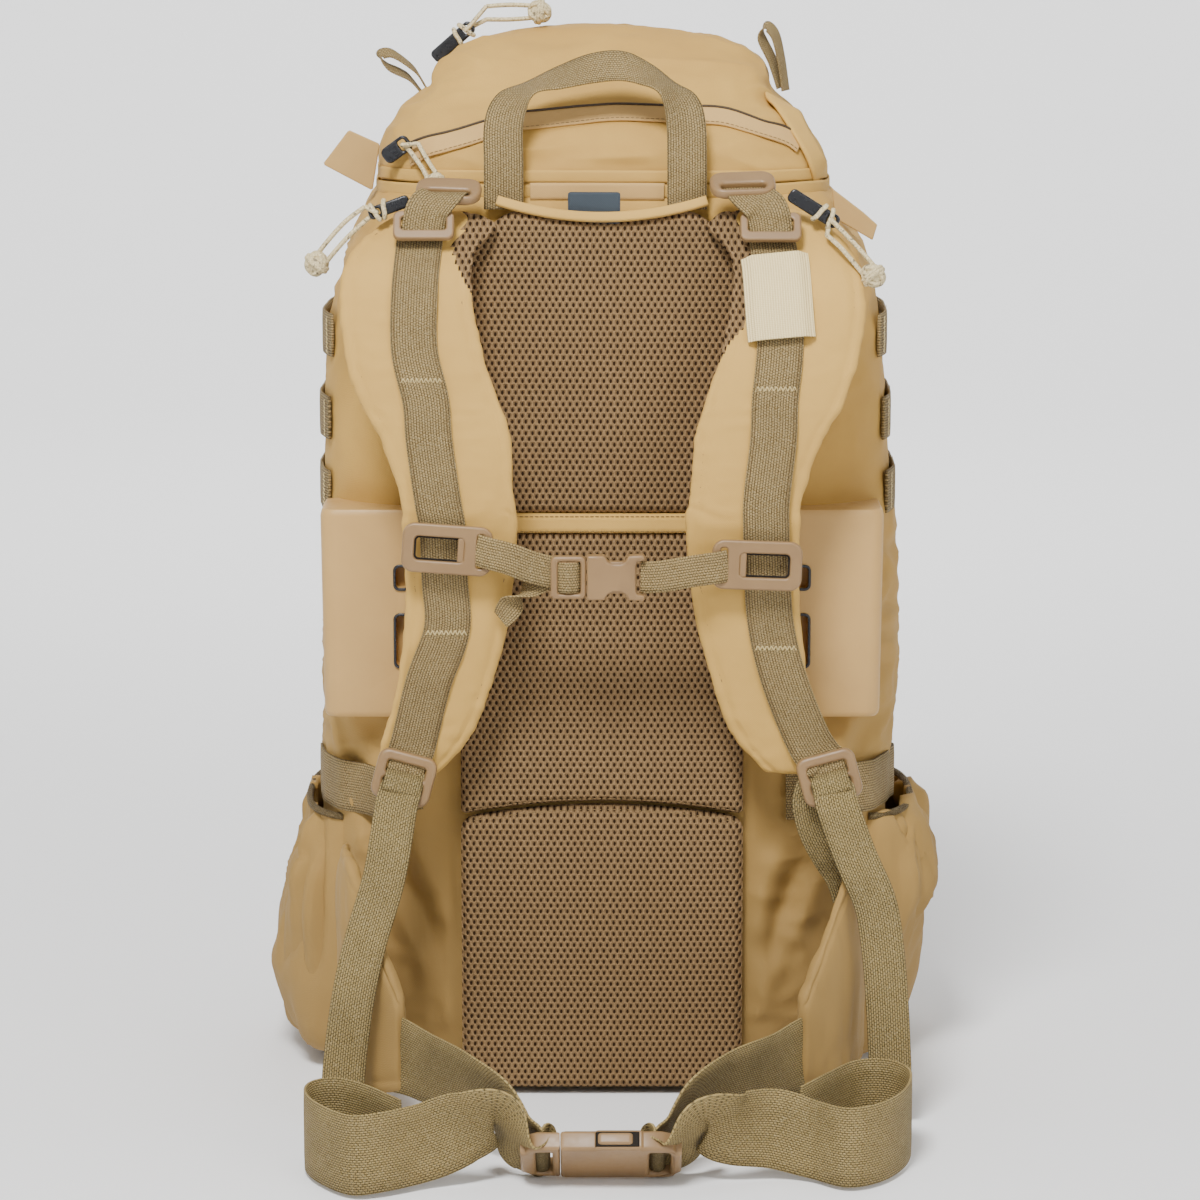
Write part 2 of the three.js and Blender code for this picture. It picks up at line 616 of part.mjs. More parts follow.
for (const [side, s] of Object.entries(SIDES)) add(`hip_wing_${side}`, hipWing(s), 'fabric');
add('belt_webbing_left', ribbon(BELT_LEFT, WEB.belt, 1.8, 60), 'webbing');
add('belt_webbing_right', ribbon(BELT_RIGHT, WEB.belt, 1.8, 60), 'webbing');
add('waist_socket', place(socket(73, 44, 13, 34), [11.5, BUCKLE.y, BUCKLE.z], BUCKLE.lean, 0), 'plastic');
add('waist_plug', place(plug(24, 42, 12, 34, 34), [-37.4, BUCKLE.y, BUCKLE.z], BUCKLE.lean, 0), 'plastic');

export default pack;
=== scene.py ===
"""A hunting backpack standing on a pale floor.

Everything is worked out in millimetres, in the frame of the CAD model, and becomes metres in make().
The harness side faces -Y. Names that end in left lie at -X, and in right at +X.
"""

import math

import bpy
from mathutils import Matrix, Vector, noise
from mathutils.bvhtree import BVHTree


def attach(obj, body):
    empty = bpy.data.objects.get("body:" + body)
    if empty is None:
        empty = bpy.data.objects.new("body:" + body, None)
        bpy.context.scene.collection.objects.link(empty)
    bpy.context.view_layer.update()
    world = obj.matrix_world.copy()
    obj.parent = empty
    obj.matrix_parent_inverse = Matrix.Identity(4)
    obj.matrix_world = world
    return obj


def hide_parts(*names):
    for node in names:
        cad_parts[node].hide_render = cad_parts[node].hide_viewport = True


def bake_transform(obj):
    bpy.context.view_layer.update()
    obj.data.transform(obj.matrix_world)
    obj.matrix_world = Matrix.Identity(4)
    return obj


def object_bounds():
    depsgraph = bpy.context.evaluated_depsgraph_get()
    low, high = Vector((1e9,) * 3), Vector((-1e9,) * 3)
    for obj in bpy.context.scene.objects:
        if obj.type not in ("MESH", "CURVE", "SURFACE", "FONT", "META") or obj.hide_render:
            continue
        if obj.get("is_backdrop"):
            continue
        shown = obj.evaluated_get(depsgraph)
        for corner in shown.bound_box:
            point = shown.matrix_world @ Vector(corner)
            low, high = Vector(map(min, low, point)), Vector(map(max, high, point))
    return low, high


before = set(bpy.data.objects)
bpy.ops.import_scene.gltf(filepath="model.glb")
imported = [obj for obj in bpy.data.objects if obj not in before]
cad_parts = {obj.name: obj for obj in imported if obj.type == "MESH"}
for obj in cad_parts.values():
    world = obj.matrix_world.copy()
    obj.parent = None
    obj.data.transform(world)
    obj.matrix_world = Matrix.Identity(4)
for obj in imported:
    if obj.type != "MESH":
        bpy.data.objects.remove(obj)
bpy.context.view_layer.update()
scene = bpy.context.scene
MM = 0.001
SIDES = {"left": -1, "right": 1}

# ---------------------------------------------------------------- camera


def aim(obj, target):
    """Turn a camera or a light at obj's place towards a point."""
    obj.rotation_euler = (Vector(target) - obj.location).to_track_quat("-Z", "Y").to_euler()


def make_camera():
    data = bpy.data.cameras.new("camera")
    data.lens = 123.3
    data.sensor_width = 36
    data.shift_x = -0.0017
    camera = bpy.data.objects.new("camera", data)
    scene.collection.objects.link(camera)
    camera.location = (0, -2.72, 0.765)
    aim(camera, (0, -0.12, 0.325))
    scene.camera = camera


make_camera()

# ---------------------------------------------------------------- node helpers


class Nodes:
    """A material's node tree, with short calls for the nodes that the materials here use."""

    def __init__(self, name):
        self.material = bpy.data.materials.new(name)
        self.material.use_nodes = True
        self.tree = self.material.node_tree
        self.shader = self.tree.nodes["Principled BSDF"]

    def new(self, kind, inputs=(), **settings):
        node = self.tree.nodes.new(kind)
        for key, value in settings.items():
            setattr(node, key, value)
        for key, value in dict(inputs).items():
            self.put(value, node.inputs[key])
        return node

    def put(self, value, socket):
        if isinstance(value, bpy.types.NodeSocket):
            self.tree.links.new(value, socket)
        else:
            socket.default_value = value

    def math(self, operation, a, b=0.0, c=0.0):
        return self.new("ShaderNodeMath", {0: a, 1: b, 2: c}, operation=operation).outputs[0]

    def split(self, vector):
        return self.new("ShaderNodeSeparateXYZ", {0: vector}).outputs

    def join(self, x, y, z):
        return self.new("ShaderNodeCombineXYZ", {0: x, 1: y, 2: z}).outputs[0]

    def place(self):
        return self.new("ShaderNodeTexCoord").outputs["Object"]

    def uv(self):
        return self.new("ShaderNodeTexCoord").outputs["UV"]

    def noise(self, vector, scale, detail=3.0, rough=0.5):
        return self.new(
            "ShaderNodeTexNoise",
            {"Vector": vector, "Scale": scale, "Detail": detail, "Roughness": rough},
        ).outputs["Fac"]

    def span(self, value, low, high, to_low=0.0, to_high=1.0):
        return self.new(
            "ShaderNodeMapRange",
            {"Value": value, "From Min": low, "From Max": high, "To Min": to_low, "To Max": to_high},
        ).outputs["Result"]

    def mix(self, factor, a, b, blend="MIX"):
        node = self.new("ShaderNodeMix", data_type="RGBA", blend_type=blend)
        self.put(factor, node.inputs["Factor"])
        for value, socket in ((a, node.inputs[6]), (b, node.inputs[7])):
            self.put(value if isinstance(value, bpy.types.NodeSocket) else (*value, 1), socket)
        return node.outputs[2]

    def bump(self, height, distance, strength=1.0, normal=None):
        inputs = {"Height": height, "Distance": distance, "Strength": strength}
        if normal is not None:
            inputs["Normal"] = normal
        return self.new("ShaderNodeBump", inputs).outputs["Normal"]

    def finish(self, colour, normal=None, roughness=0.8, **constants):
        self.put(colour if isinstance(colour, bpy.types.NodeSocket) else (*colour, 1),
                 self.shader.inputs["Base Color"])
        self.put(roughness, self.shader.inputs["Roughness"])
        if normal is not None:
            self.put(normal, self.shader.inputs["Normal"])
        for key, value in constants.items():
            self.shader.inputs[key.replace("_", " ")].default_value = value
        return self.material


# ---------------------------------------------------------------- materials

TAN = (0.54, 0.325, 0.078)
TAN_DEEP = (0.43, 0.245, 0.058)
CREAM = (0.62, 0.52, 0.30)


def weave(n, place, pitch):
    """Height of a plain weave, in every upright plane of the piece's own coordinates."""
    x, y, z = n.split(place)
    turn = 2 * math.pi / pitch
    across = n.math("SINE", n.math("MULTIPLY", n.math("ADD", x, y), turn))
    down = n.math("SINE", n.math("MULTIPLY", z, turn))
    return n.math("MULTIPLY", across, down)


def cloth(name, light, deep, pitch=0.0011, sheen=0.03, crumple=0.0006, low=None):
    """Dense woven nylon: faint weave, soft crumples, and colour that drifts a little. Given low, it is
    painted darker towards the bottom as shade.
    """
    n = Nodes(name)
    place = n.place()
    drift = n.noise(place, 9.0, 4.0, 0.6)
    grain = n.noise(place, 900.0, 2.0, 0.6)
    colour = n.mix(n.span(drift, 0.3, 0.7), deep, light)
    colour = n.mix(n.span(grain, 0.3, 0.75, 0.0, 0.22), colour, deep)
    # painted shade: below about 0.42 m the colour fades towards low, standing in for the dimmer light on
    # the lower parts
    if low:
        colour = n.mix(n.span(n.split(place)[2], 0.10, 0.42, 1.0, 0.0), colour, low)
    normal = n.bump(n.noise(place, 42.0, 5.0, 0.55), crumple, 0.7)
    normal = n.bump(weave(n, place, pitch), 0.00009, 0.5, normal)
    return n.finish(colour, normal, n.span(drift, 0.2, 0.8, 0.68, 0.82),
                    Sheen_Weight=sheen, Sheen_Roughness=0.45, Sheen_Tint=(0.9, 0.7, 0.4, 1),
                    Specular_IOR_Level=0.25)


def webbing(name, light, dark, rib=0.0017, thread=0.0017):
    """Ribbed webbing: offset rows of raised threads, laid along the strap's own UV, with painted shade in
    the grooves between the threads.
    """
    n = Nodes(name)
    u, v, _ = n.split(n.uv())
    row = n.math("FLOOR", n.math("DIVIDE", v, thread))
    odd = n.math("MULTIPLY", n.math("MODULO", n.math("ABSOLUTE", row), 2.0), 0.5)
    along = n.math("FRACT", n.math("ADD", n.math("DIVIDE", u, rib), odd))
    across = n.math("FRACT", n.math("DIVIDE", v, thread))
    float_ = n.math("SINE", n.math("MULTIPLY", along, math.pi))
    round_ = n.math("SINE", n.math("MULTIPLY", across, math.pi))
    height = n.math("MULTIPLY", n.math("POWER", float_, 0.5), n.math("POWER", round_, 0.9))
    place = n.place()
    wear = n.noise(place, 30.0, 4.0, 0.6)
    # painted shade: the colour runs to dark where the threads dip, standing in for the shade in the grooves
    colour = n.mix(n.span(height, 0.15, 0.8), dark, light)
    colour = n.mix(n.span(wear, 0.35, 0.75, 0.0, 0.35), colour, dark)
    colour = n.mix(n.span(n.noise(place, 1400.0, 1.0), 0.45, 0.7, 0.0, 0.25), colour, CREAM)
    return n.finish(colour, n.bump(height, 0.00045, 1.0), 0.72, Specular_IOR_Level=0.2)


def spacer_mesh(name):
    """Spacer mesh: offset rows of oval holes through a fuzzy knitted face, the holes painted near-black as
    the shade inside them.
    """
    n = Nodes(name)
    x, y, z = n.split(n.place())
    wave = n.math("MULTIPLY", n.noise(n.place(), 14.0, 2.0), 0.0016)
    u = n.math("DIVIDE", n.math("ADD", x, wave), 0.0043)
    v = n.math("DIVIDE", z, 0.0037)
    odd = n.math("MULTIPLY", n.math("MODULO", n.math("ABSOLUTE", n.math("FLOOR", v)), 2.0), 0.5)
    du = n.math("SUBTRACT", n.math("FRACT", n.math("ADD", u, odd)), 0.5)
    dv = n.math("SUBTRACT", n.math("FRACT", v), 0.5)
    far = n.math("SQRT", n.math(
        "ADD",
        n.math("POWER", n.math("ABSOLUTE", n.math("MULTIPLY", du, 4.3 / 0.88)), 2.0),
        n.math("POWER", n.math("ABSOLUTE", n.math("MULTIPLY", dv, 3.7 / 1.45)), 2.0),
    ))
    hole = n.span(far, 0.8, 1.15, 1.0, 0.0)
    rim = n.span(far, 1.0, 2.0)
    fuzz = n.noise(n.place(), 1500.0, 3.0, 0.7)
    face = n.mix(n.span(fuzz, 0.3, 0.7), (0.19, 0.115, 0.052), (0.33, 0.21, 0.100))
    face = n.mix(n.span(n.noise(n.place(), 12.0), 0.3, 0.7, 0.0, 0.3), face, (0.19, 0.114, 0.05))
    # painted shade: the holes get a near-black colour for the shade down inside them
    colour = n.mix(hole, face, (0.022, 0.010, 0.003))
    height = n.math("ADD", rim, n.math("MULTIPLY", fuzz, 0.25))
    return n.finish(colour, n.bump(height, 0.0013, 1.0), 0.9, Specular_IOR_Level=0.15)


def plastic(name, colour, dark, roughness=0.42):
    """Moulded plastic: a very fine texture, flow marks, and paler rubbed edges."""
    n = Nodes(name)
    place = n.place()
    edge = n.span(n.new("ShaderNodeNewGeometry").outputs["Pointiness"], 0.5, 0.56)
    flow = n.noise(place, 35.0, 3.0)
    tint = n.mix(n.span(flow, 0.35, 0.7), dark, colour)
    tint = n.mix(n.math("MULTIPLY", edge, 0.35), tint, tuple(min(1, c * 1.25) for c in colour))
    rough = n.span(n.noise(place, 300.0, 3.0), 0.2, 0.8, roughness - 0.06, roughness + 0.08)
    return n.finish(tint, n.bump(n.noise(place, 2200.0, 2.0), 0.00004, 0.5), rough)


def thread(name, colour):
    n = Nodes(name)
    twist = n.noise(n.place(), 2500.0, 1.0)
    tint = n.mix(n.span(twist, 0.3, 0.7), tuple(c * 0.7 for c in colour), colour)
    return n.finish(tint, n.bump(twist, 0.0001, 0.6), 0.65)


def braid(name):
    """Braided cord: slanting strands with a dark fleck here and there."""
    n = Nodes(name)
    u, v, _ = n.split(n.uv())
    one = n.math("SINE", n.math("ADD", n.math("MULTIPLY", u, 1050.0), n.math("MULTIPLY", v, 12.566)))
    two = n.math("SINE", n.math("SUBTRACT", n.math("MULTIPLY", u, 1050.0), n.math("MULTIPLY", v, 12.566)))
    place = n.place()
    strands = n.noise(place, 900.0, 2.0, 0.6)
    height = n.math("ADD", n.math("MULTIPLY", one, two), n.math("MULTIPLY", strands, 0.8))
    fleck = n.span(n.noise(place, 420.0, 2.0), 0.60, 0.66)
    colour = n.mix(n.span(strands, 0.3, 0.7), (0.42, 0.33, 0.17), (0.74, 0.63, 0.38))
    colour = n.mix(n.math("MULTIPLY", fleck, 0.8), colour, (0.12, 0.10, 0.07))
    return n.finish(colour, n.bump(height, 0.0003, 0.7), 0.8, Specular_IOR_Level=0.2)


def elastic(name):
    """Elastic: ribs down its length, crossed by fine rows, with painted shade darkening the hollows between
    them.
    """
    n = Nodes(name)
    u, v, _ = n.split(n.uv())
    ribs = n.math("SINE", n.math("MULTIPLY", v, 2 * math.pi / 0.0016))
    rows = n.math("SINE", n.math("MULTIPLY", u, 2 * math.pi / 0.0011))
    height = n.math("ADD", ribs, n.math("MULTIPLY", rows, 0.4))
    # painted shade: the colour darkens where the ribs dip
    colour = n.mix(n.span(height, -1.0, 1.0), (0.70, 0.53, 0.25), (0.90, 0.73, 0.38))
    return n.finish(colour, n.bump(height, 0.00022, 0.8), 0.85, Specular_IOR_Level=0.2)


def metal(name):
    n = Nodes(name)
    brushed = n.noise(n.place(), 700.0, 2.0)
    return n.finish((0.7, 0.72, 0.74), n.bump(brushed, 0.00003, 0.4),
                    n.span(brushed, 0.3, 0.7, 0.25, 0.4), Metallic=1.0)


# fabric's low colour is painted shade for the lower bag, the pockets and the hip wings
FABRIC = cloth("fabric", TAN, TAN_DEEP, low=(0.30, 0.185, 0.058))
FABRIC_SMOOTH = cloth("fabric_smooth", (0.58, 0.352, 0.088), (0.50, 0.297, 0.072), crumple=0.0003)
LAMINATE = cloth("laminate", (0.47, 0.295, 0.105), (0.41, 0.25, 0.085), sheen=0.05, crumple=0.0002)
ZIP_TAPE = cloth("zip_tape", (0.55, 0.345, 0.125), (0.48, 0.29, 0.10), sheen=0.05, crumple=0.0002)
SLATE = cloth("slate", (0.045, 0.058, 0.070), (0.034, 0.045, 0.056), crumple=0.0002)
# a near-black material laid where only shade falls: painted shade in gaps and recesses
PAINTED_SHADE_GAP = cloth("painted_shade_gap", (0.012, 0.008, 0.004), (0.008, 0.005, 0.003), sheen=0.0)
MESH = spacer_mesh("spacer_mesh")
# the second colour of each webbing is painted shade for the grooves between its threads
WEBBING = webbing("webbing", (0.33, 0.225, 0.088), (0.060, 0.038, 0.013))
BELT_WEBBING = webbing("belt_webbing", (0.33, 0.235, 0.085), (0.040, 0.027, 0.009), 0.0024, 0.0015)
PLASTIC = plastic("moulded_plastic", (0.24, 0.142, 0.058), (0.20, 0.116, 0.047))
SHELL = plastic("shell_plastic", (0.47, 0.284, 0.092), (0.43, 0.255, 0.080), 0.5)
BLACK = plastic("black_plastic", (0.014, 0.015, 0.018), (0.008, 0.008, 0.010), 0.28)
STITCH = thread("stitch", (0.20, 0.12, 0.04))
ZIP_SEAM = thread("zip_seam", (0.055, 0.032, 0.012))
BAR_TACK = thread("bar_tack", (0.62, 0.48, 0.22))
CORD = braid("cord")
ELASTIC = elastic("elastic")
FRAME_SHEET = plastic("frame_sheet", (0.03, 0.034, 0.04), (0.02, 0.022, 0.026))
ALLOY = metal("stay_alloy")

# ---------------------------------------------------------------- mesh helpers


def make(name, points, faces, material, body, uv=None):
    """A mesh object from points in millimetres. uv holds one pair a point, in metres."""
    mesh = bpy.data.meshes.new(name)
    mesh.from_pydata([Vector(p) * MM for p in points], [], faces)
    mesh.materials.append(material)
    if uv is not None:
        layer = mesh.uv_layers.new(name="UVMap")
        for loop in mesh.loops:
            layer.data[loop.index].uv = uv[loop.vertex_index]
    mesh.polygons.foreach_set("use_smooth", [True] * len(mesh.polygons))
    mesh.update()
    obj = bpy.data.objects.new(name, mesh)
    scene.collection.objects.link(obj)
    if body:
        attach(obj, body)
    return obj


def catmull(stops, steps):
    """Points of a smooth curve through the stops, which are tuples of any one length."""
    last = len(stops) - 1
    out = []
    for k in range(steps + 1):
        t = k / steps * last
        i = min(int(t), last - 1)
        f = t - i
        four = [stops[max(0, min(last, j))] for j in (i - 1, i, i + 1, i + 2)]
        out.append(tuple(
            b + 0.5 * f * (c - a + f * (2 * a - 5 * b + 4 * c - d + f * (3 * (b - c) + d - a)))
            for a, b, c, d in zip(*four)
        ))
    return out


def skin_faces(rings, count, caps=True):
    """Quads between rings of count points each, and a cap on each end."""
    faces = []
    for r in range(rings - 1):
        for i in range(count):
            j = (i + 1) % count
            faces.append((r * count + i, r * count + j, (r + 1) * count + j, (r + 1) * count + i))
    if caps:
        faces.append(tuple(reversed(range(count))))
        faces.append(tuple((rings - 1) * count + i for i in range(count)))
    return faces


STRIP = [(-1, 0), (-0.985, 0.8), (-0.6, 1), (0, 1), (0.6, 1), (0.985, 0.8),
         (1, 0), (0.985, -0.8), (0.6, -1), (0, -1), (-0.6, -1), (-0.985, -0.8)]


def frames(stops, steps):
    """Centre, side and up at each step of a strap. A stop is a point and, after it, the way across."""
    line = catmull([s if len(s) == 6 else (*s, 1, 0, 0) for s in stops], steps)
    out = []
    for i, s in enumerate(line):
        before, after = Vector(line[max(i - 1, 0)][:3]), Vector(line[min(i + 1, steps)][:3])
        along = (after - before).normalized()
        side = Vector(s[3:])
        side = (side - along * side.dot(along)).normalized()
        out.append((Vector(s[:3]), side, side.cross(along)))
    return out


def ribbon(name, stops, width, thick, material, body, steps=None, crown=0.0):
    """A strap of webbing with rounded edges, its UV in metres along and across it. crown arches it."""
    steps = steps or 12 * len(stops)
    strip = STRIP
    if crown:
        face = [-1, -0.96, -0.85, -0.75, -0.68, -0.5, -0.25, 0, 0.25, 0.5, 0.68, 0.75, 0.85, 0.96, 1]
        strip = [(a, 1) for a in face] + [(a, -1) for a in reversed(face)]
    points, uv, run = [], [], 0.0
    placed = frames(stops, steps)
    for i, (centre, side, up) in enumerate(placed):
        if i:
            run += (centre - placed[i - 1][0]).length
        for a, b in strip:
            arch = crown * (1 - ease(abs(a), 0.66, 1.0))
            points.append(centre + side * (a * width / 2) + up * (b * thick / 2 + arch))
            uv.append((run * MM, a * width / 2 * MM))
    return make(name, points, skin_faces(steps + 1, len(strip)), material, body, uv)


class Stitching:
    """Small raised stitches, gathered into one mesh for each body and thread."""

    def __init__(self):
        self.rows = {}

    def dash(self, key, centre, along, out, length, width=0.55, height=0.35):
        points, faces = self.rows.setdefault(key, ([], []))
        side = along.cross(out).normalized()
        first = len(points)
        for a, b, c in ((-1, -1, 0), (-1, 1, 0), (1, 1, 0), (1, -1, 0), (-0.6, 0, 1), (0.6, 0, 1)):
            points.append(centre + along * (a * length / 2) + side * (b * width / 2) + out * (c * height))
        for face in ((0, 1, 4), (3, 5, 2), (1, 2, 5, 4), (0, 4, 5, 3), (0, 3, 2, 1)):
            faces.append(tuple(first + i for i in face))

    def row(self, key, points, outs, pitch=3.2, length=2.3):
        """A run of stitches along a polyline that lies on a surface whose normals are outs."""
        carry = pitch / 2
        for a, b, out in zip(points, points[1:], outs):
            step = (b - a).length
            if step < 1e-6:
                continue
            along = (b - a) / step
            while carry < step:
                self.dash(key, a + along * carry, along, out, length)
                carry += pitch
            carry -= step

    def tack(self, key, centre, across, out, width, rows=9):
        """A bar tack: close stitches side by side over a short bar."""
        down = across.cross(out).normalized()
        for i in range(rows):
            at = centre + across * (width * (i / (rows - 1) - 0.5))
            slant = (down + across * (0.5 if i % 2 else -0.5)).normalized()
            self.dash(key, at + out * 0.1, slant, out, 3.2, 0.8, 0.5)

    def finish(self):
        for (body, thread_name), (points, faces) in self.rows.items():
            material = BAR_TACK if thread_name == "tack" else STITCH
            obj = make(f"stitching_{body}_{thread_name}", points, faces, material, body)
            obj.data.polygons.foreach_set("use_smooth", [False] * len(faces))


stitching = Stitching()

# ---------------------------------------------------------------- surfaces


def blend_rows(rows, z):
    """Values between rows that start with their height, joined smoothly."""
    if z <= rows[0][0]:
        return rows[0][1:]
    for i in range(len(rows) - 1):
        if rows[i][0] <= z <= rows[i + 1][0]:
            f = (z - rows[i][0]) / (rows[i + 1][0] - rows[i][0])
            four = [rows[max(0, min(len(rows) - 1, j))] for j in (i - 1, i, i + 1, i + 2)]
            return tuple(
                b + 0.5 * f * (c - a + f * (2 * a - 5 * b + 4 * c - d + f * (3 * (b - c) + d - a)))
                for a, b, c, d in zip(*four)
            )[1:]
    return rows[-1][1:]


def oval(z, left, right, back, front, turn, power=3.6):
    """A point of a level superellipse, turned from +X towards +Y, wider or narrower on each side."""
    c, k = math.cos(turn), math.sin(turn)
    half = right if c > 0 else left
    e = 2 / power
    return Vector((
        half * math.copysign(abs(c) ** e, c),
        (back + front) / 2 + (front - back) / 2 * math.copysign(abs(k) ** e, k),
        z,
    ))


# Height, reach to the left and right, back (harness side) and front.
BAG = [
    (0, 150, 150, -99, 110), (6, 166, 166, -107, 119), (14, 174, 175, -114, 126), (30, 178, 179, -119, 129),
    (60, 181, 184, -121, 130), (140, 184, 187, -121, 131), (190, 185, 191, -121, 132),
    (270, 185, 198, -121, 132), (330, 184, 195, -121, 131), (400, 183, 189, -121, 130),
    (490, 180, 184, -122, 128), (545, 168, 171, -123, 126), (575, 154, 156, -118, 124),
    (591, 143, 144, -110, 122),
]
LID = [
    (589, 143, 144, -109, 122), (600, 146, 147, -108, 123), (611, 145, 143, -105, 122),
    (622, 138, 135, -97, 118), (632, 130, 127, -86, 112), (640, 119, 117, -75, 106),
    (645, 112, 112, -68, 101), (649, 110, 110, -62, 98), (656, 109, 109, -54, 94),
    (664, 105, 104, -45, 87), (672, 96, 93, -34, 78), (679, 80, 76, -20, 66), (684, 56, 52, -4, 50),
    (686.5, 26, 24, 10, 34),
]


def bag_point(z, degrees, off=0.0, s=1):
    """A point on the bag's outside, turned from the side s towards the harness, set out by off."""
    left, right, back, front = blend_rows(BAG, z)
    turn = math.radians(-degrees)
    point = oval(z, left + off, right + off, back - off, front + off, turn if s > 0 else math.pi - turn)
    return point


def loft(name, rows, count, body, material, steps=None, power=3.6, lining=()):
    """A closed skin over level ovals, from rows of height, left, right, back and front.

    lining gives height and inset of the rings of an inner wall, which leaves the top open.
    """
    low, high = rows[0][0], rows[-1][0]
    steps = steps or int((high - low) / 4)
    points = []
    for i in range(steps + 1):
        z = low + (high - low) * i / steps
        values = blend_rows(rows, z)
        points += [oval(z, *values, 2 * math.pi * j / count, power) for j in range(count)]
    for z, inset in lining:
        left, right, back, front = blend_rows(rows, z)
        values = (left - inset, right - inset, back + inset, front - inset)
        points += [oval(z, *values, 2 * math.pi * j / count, power) for j in range(count)]
    return make(name, points, skin_faces(steps + 1 + len(lining), count), material, body)


def rumple(obj, *waves, keep=None, first=None):
    """Push a skin in and out by noise. A wave is size, depth, stretch along X, Y and Z, and sharpness.

    Only the first vertices move, where first is given.
    """
    mesh = obj.data
    mesh.update()
    moves = []
    for v in mesh.vertices[:first]:
        p = v.co * 1000
        move = 0.0
        for seed, (size, depth, stretch, sharp) in enumerate(waves):
            q = Vector((p.x / stretch[0], p.y / stretch[1], p.z / stretch[2])) / size
            value = noise.noise(q + Vector((seed * 17.3, seed * 5.1, 3.7)))
            if sharp:
                value = 0.5 - abs(value) * 2.2
            move += value * depth
        moves.append(v.normal * (move * MM * (keep(p) if keep else 1)))
    for v, move in zip(mesh.vertices[:first], moves):
        v.co += move
    mesh.update()


def ease(value, low, high):
    """0 below low and 1 above high, and smooth between."""
    t = max(0.0, min(1.0, (value - low) / (high - low)))
    return t * t * (3 - 2 * t)


def slab(name, outline, y_of, thick, material, body, rim=6.0, cell=4.0, dome=0.0, back_cut=0.5):
    """A cushion from an outline in X and Z: its face at y_of(x, z), its edges rolled over by rim."""
    low_z = min(p[1] for p in outline)
    high_z = max(p[1] for p in outline)
    rows = max(8, int((high_z - low_z) / cell))
    columns = max(8, int((max(p[0] for p in outline) - min(p[0] for p in outline)) / cell))
    spans = []
    for i in range(rows + 1):
        t = i / rows
        z = low_z + (high_z - low_z) * (0.5 - 0.5 * math.cos(math.pi * t) * (0.35) - (t - 0.5) * -0.65)
        z = min(max(z, low_z + 0.01), high_z - 0.01)
        xs = []
        for (x0, z0), (x1, z1) in zip(outline, outline[1:] + outline[:1]):
            if (z0 - z) * (z1 - z) <= 0 and abs(z1 - z0) > 1e-9:
                xs.append(x0 + (x1 - x0) * (z - z0) / (z1 - z0))
        spans.append((z, min(xs), max(xs)))
    points = []
    for side in (1, 0):
        for z, x0, x1 in spans:
            for j in range(columns + 1):
                t = j / columns
                x = x0 + (x1 - x0) * (0.5 - 0.5 * math.cos(math.pi * t) * 0.35 + (t - 0.5) * 0.65)
                edge = min(x - x0, x1 - x, z - low_z, high_z - z)
                roll = math.sqrt(max(0.0, 1 - (1 - min(edge / rim, 1)) ** 2))
                puff = dome * math.sin(math.pi * t) * math.sin(math.pi * (z - low_z) / (high_z - low_z))
                if side:
                    y = y_of(x, z) + thick * 0.5 * (1 - roll) - puff
                else:
                    y = y_of(x, z) + thick - thick * back_cut * (1 - roll)
                points.append(Vector((x, y, z)))
    width, half = columns + 1, (rows + 1) * (columns + 1)
    faces = []
    for i in range(rows):
        for j in range(columns):
            a = i * width + j
            faces.append((a, a + 1, a + width + 1, a + width))
            faces.append((half + a, half + a + width, half + a + width + 1, half + a + 1))
    border = [j for j in range(width)]
    border += [i * width + columns for i in range(1, rows + 1)]
    border += [rows * width + j for j in range(columns - 1, -1, -1)]
    border += [i * width for i in range(rows - 1, 0, -1)]
    for a, b in zip(border, border[1:] + border[:1]):
        faces.append((b, a, half + a, half + b))
    return make(name, points, faces, material, body)


def plate(name, outline, holes, thick, at, material, body, lean=0.0, tilt=0.0, bevel=0.8):
    """A moulded plate from an outline in X and Z with holes, its edges rounded by bevel."""
    curve = bpy.data.curves.new(name, "CURVE")
    curve.dimensions = "2D"
    curve.fill_mode = "BOTH"
    for loop in [outline, *holes]:
        spline = curve.splines.new("POLY")
        spline.points.add(len(loop) - 1)
        for point, (x, z) in zip(spline.points, loop):
            point.co = (x * MM, z * MM, 0, 1)
        spline.use_cyclic_u = True
    curve.extrude = (thick / 2 - bevel) * MM
    curve.bevel_depth = bevel * MM
    curve.bevel_resolution = 3
    curve.offset = -bevel * MM
    holder = bpy.data.objects.new(name, curve)
    scene.collection.objects.link(holder)
    bpy.context.view_layer.update()
    mesh = bpy.data.meshes.new_from_object(holder.evaluated_get(bpy.context.evaluated_depsgraph_get()))
    bpy.data.objects.remove(holder)
    mesh.name = name
    mesh.transform(
        Matrix.Translation(Vector(at) * MM)
        @ Matrix.Rotation(math.radians(lean), 4, "X")
        @ Matrix.Rotation(math.radians(tilt), 4, "Y")
        @ Matrix.Rotation(math.pi / 2, 4, "X")
    )
    mesh.materials.clear()
    mesh.materials.append(material)
    mesh.polygons.foreach_set("use_smooth", [True] * len(mesh.polygons))
    obj = bpy.data.objects.new(name, mesh)
    scene.collection.objects.link(obj)
    crisp = obj.modifiers.new("crisp", "EDGE_SPLIT")
    crisp.split_angle = math.radians(35)
    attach(obj, body)
    return obj


def rounded(width, height, r, x=0.0, z=0.0, arc=6):
    """The corners of a rectangle centred at (x, z), each rounded by r."""
    points = []
    for sx, sz, start in ((1, 1, 0), (-1, 1, 90), (-1, -1, 180), (1, -1, 270)):
        for i in range(arc + 1):
            t = math.radians(start + 90 * i / arc)
            points.append((
                x + sx * (width / 2 - r) + r * math.cos(t), z + sz * (height / 2 - r) + r * math.sin(t),
            ))
    return points


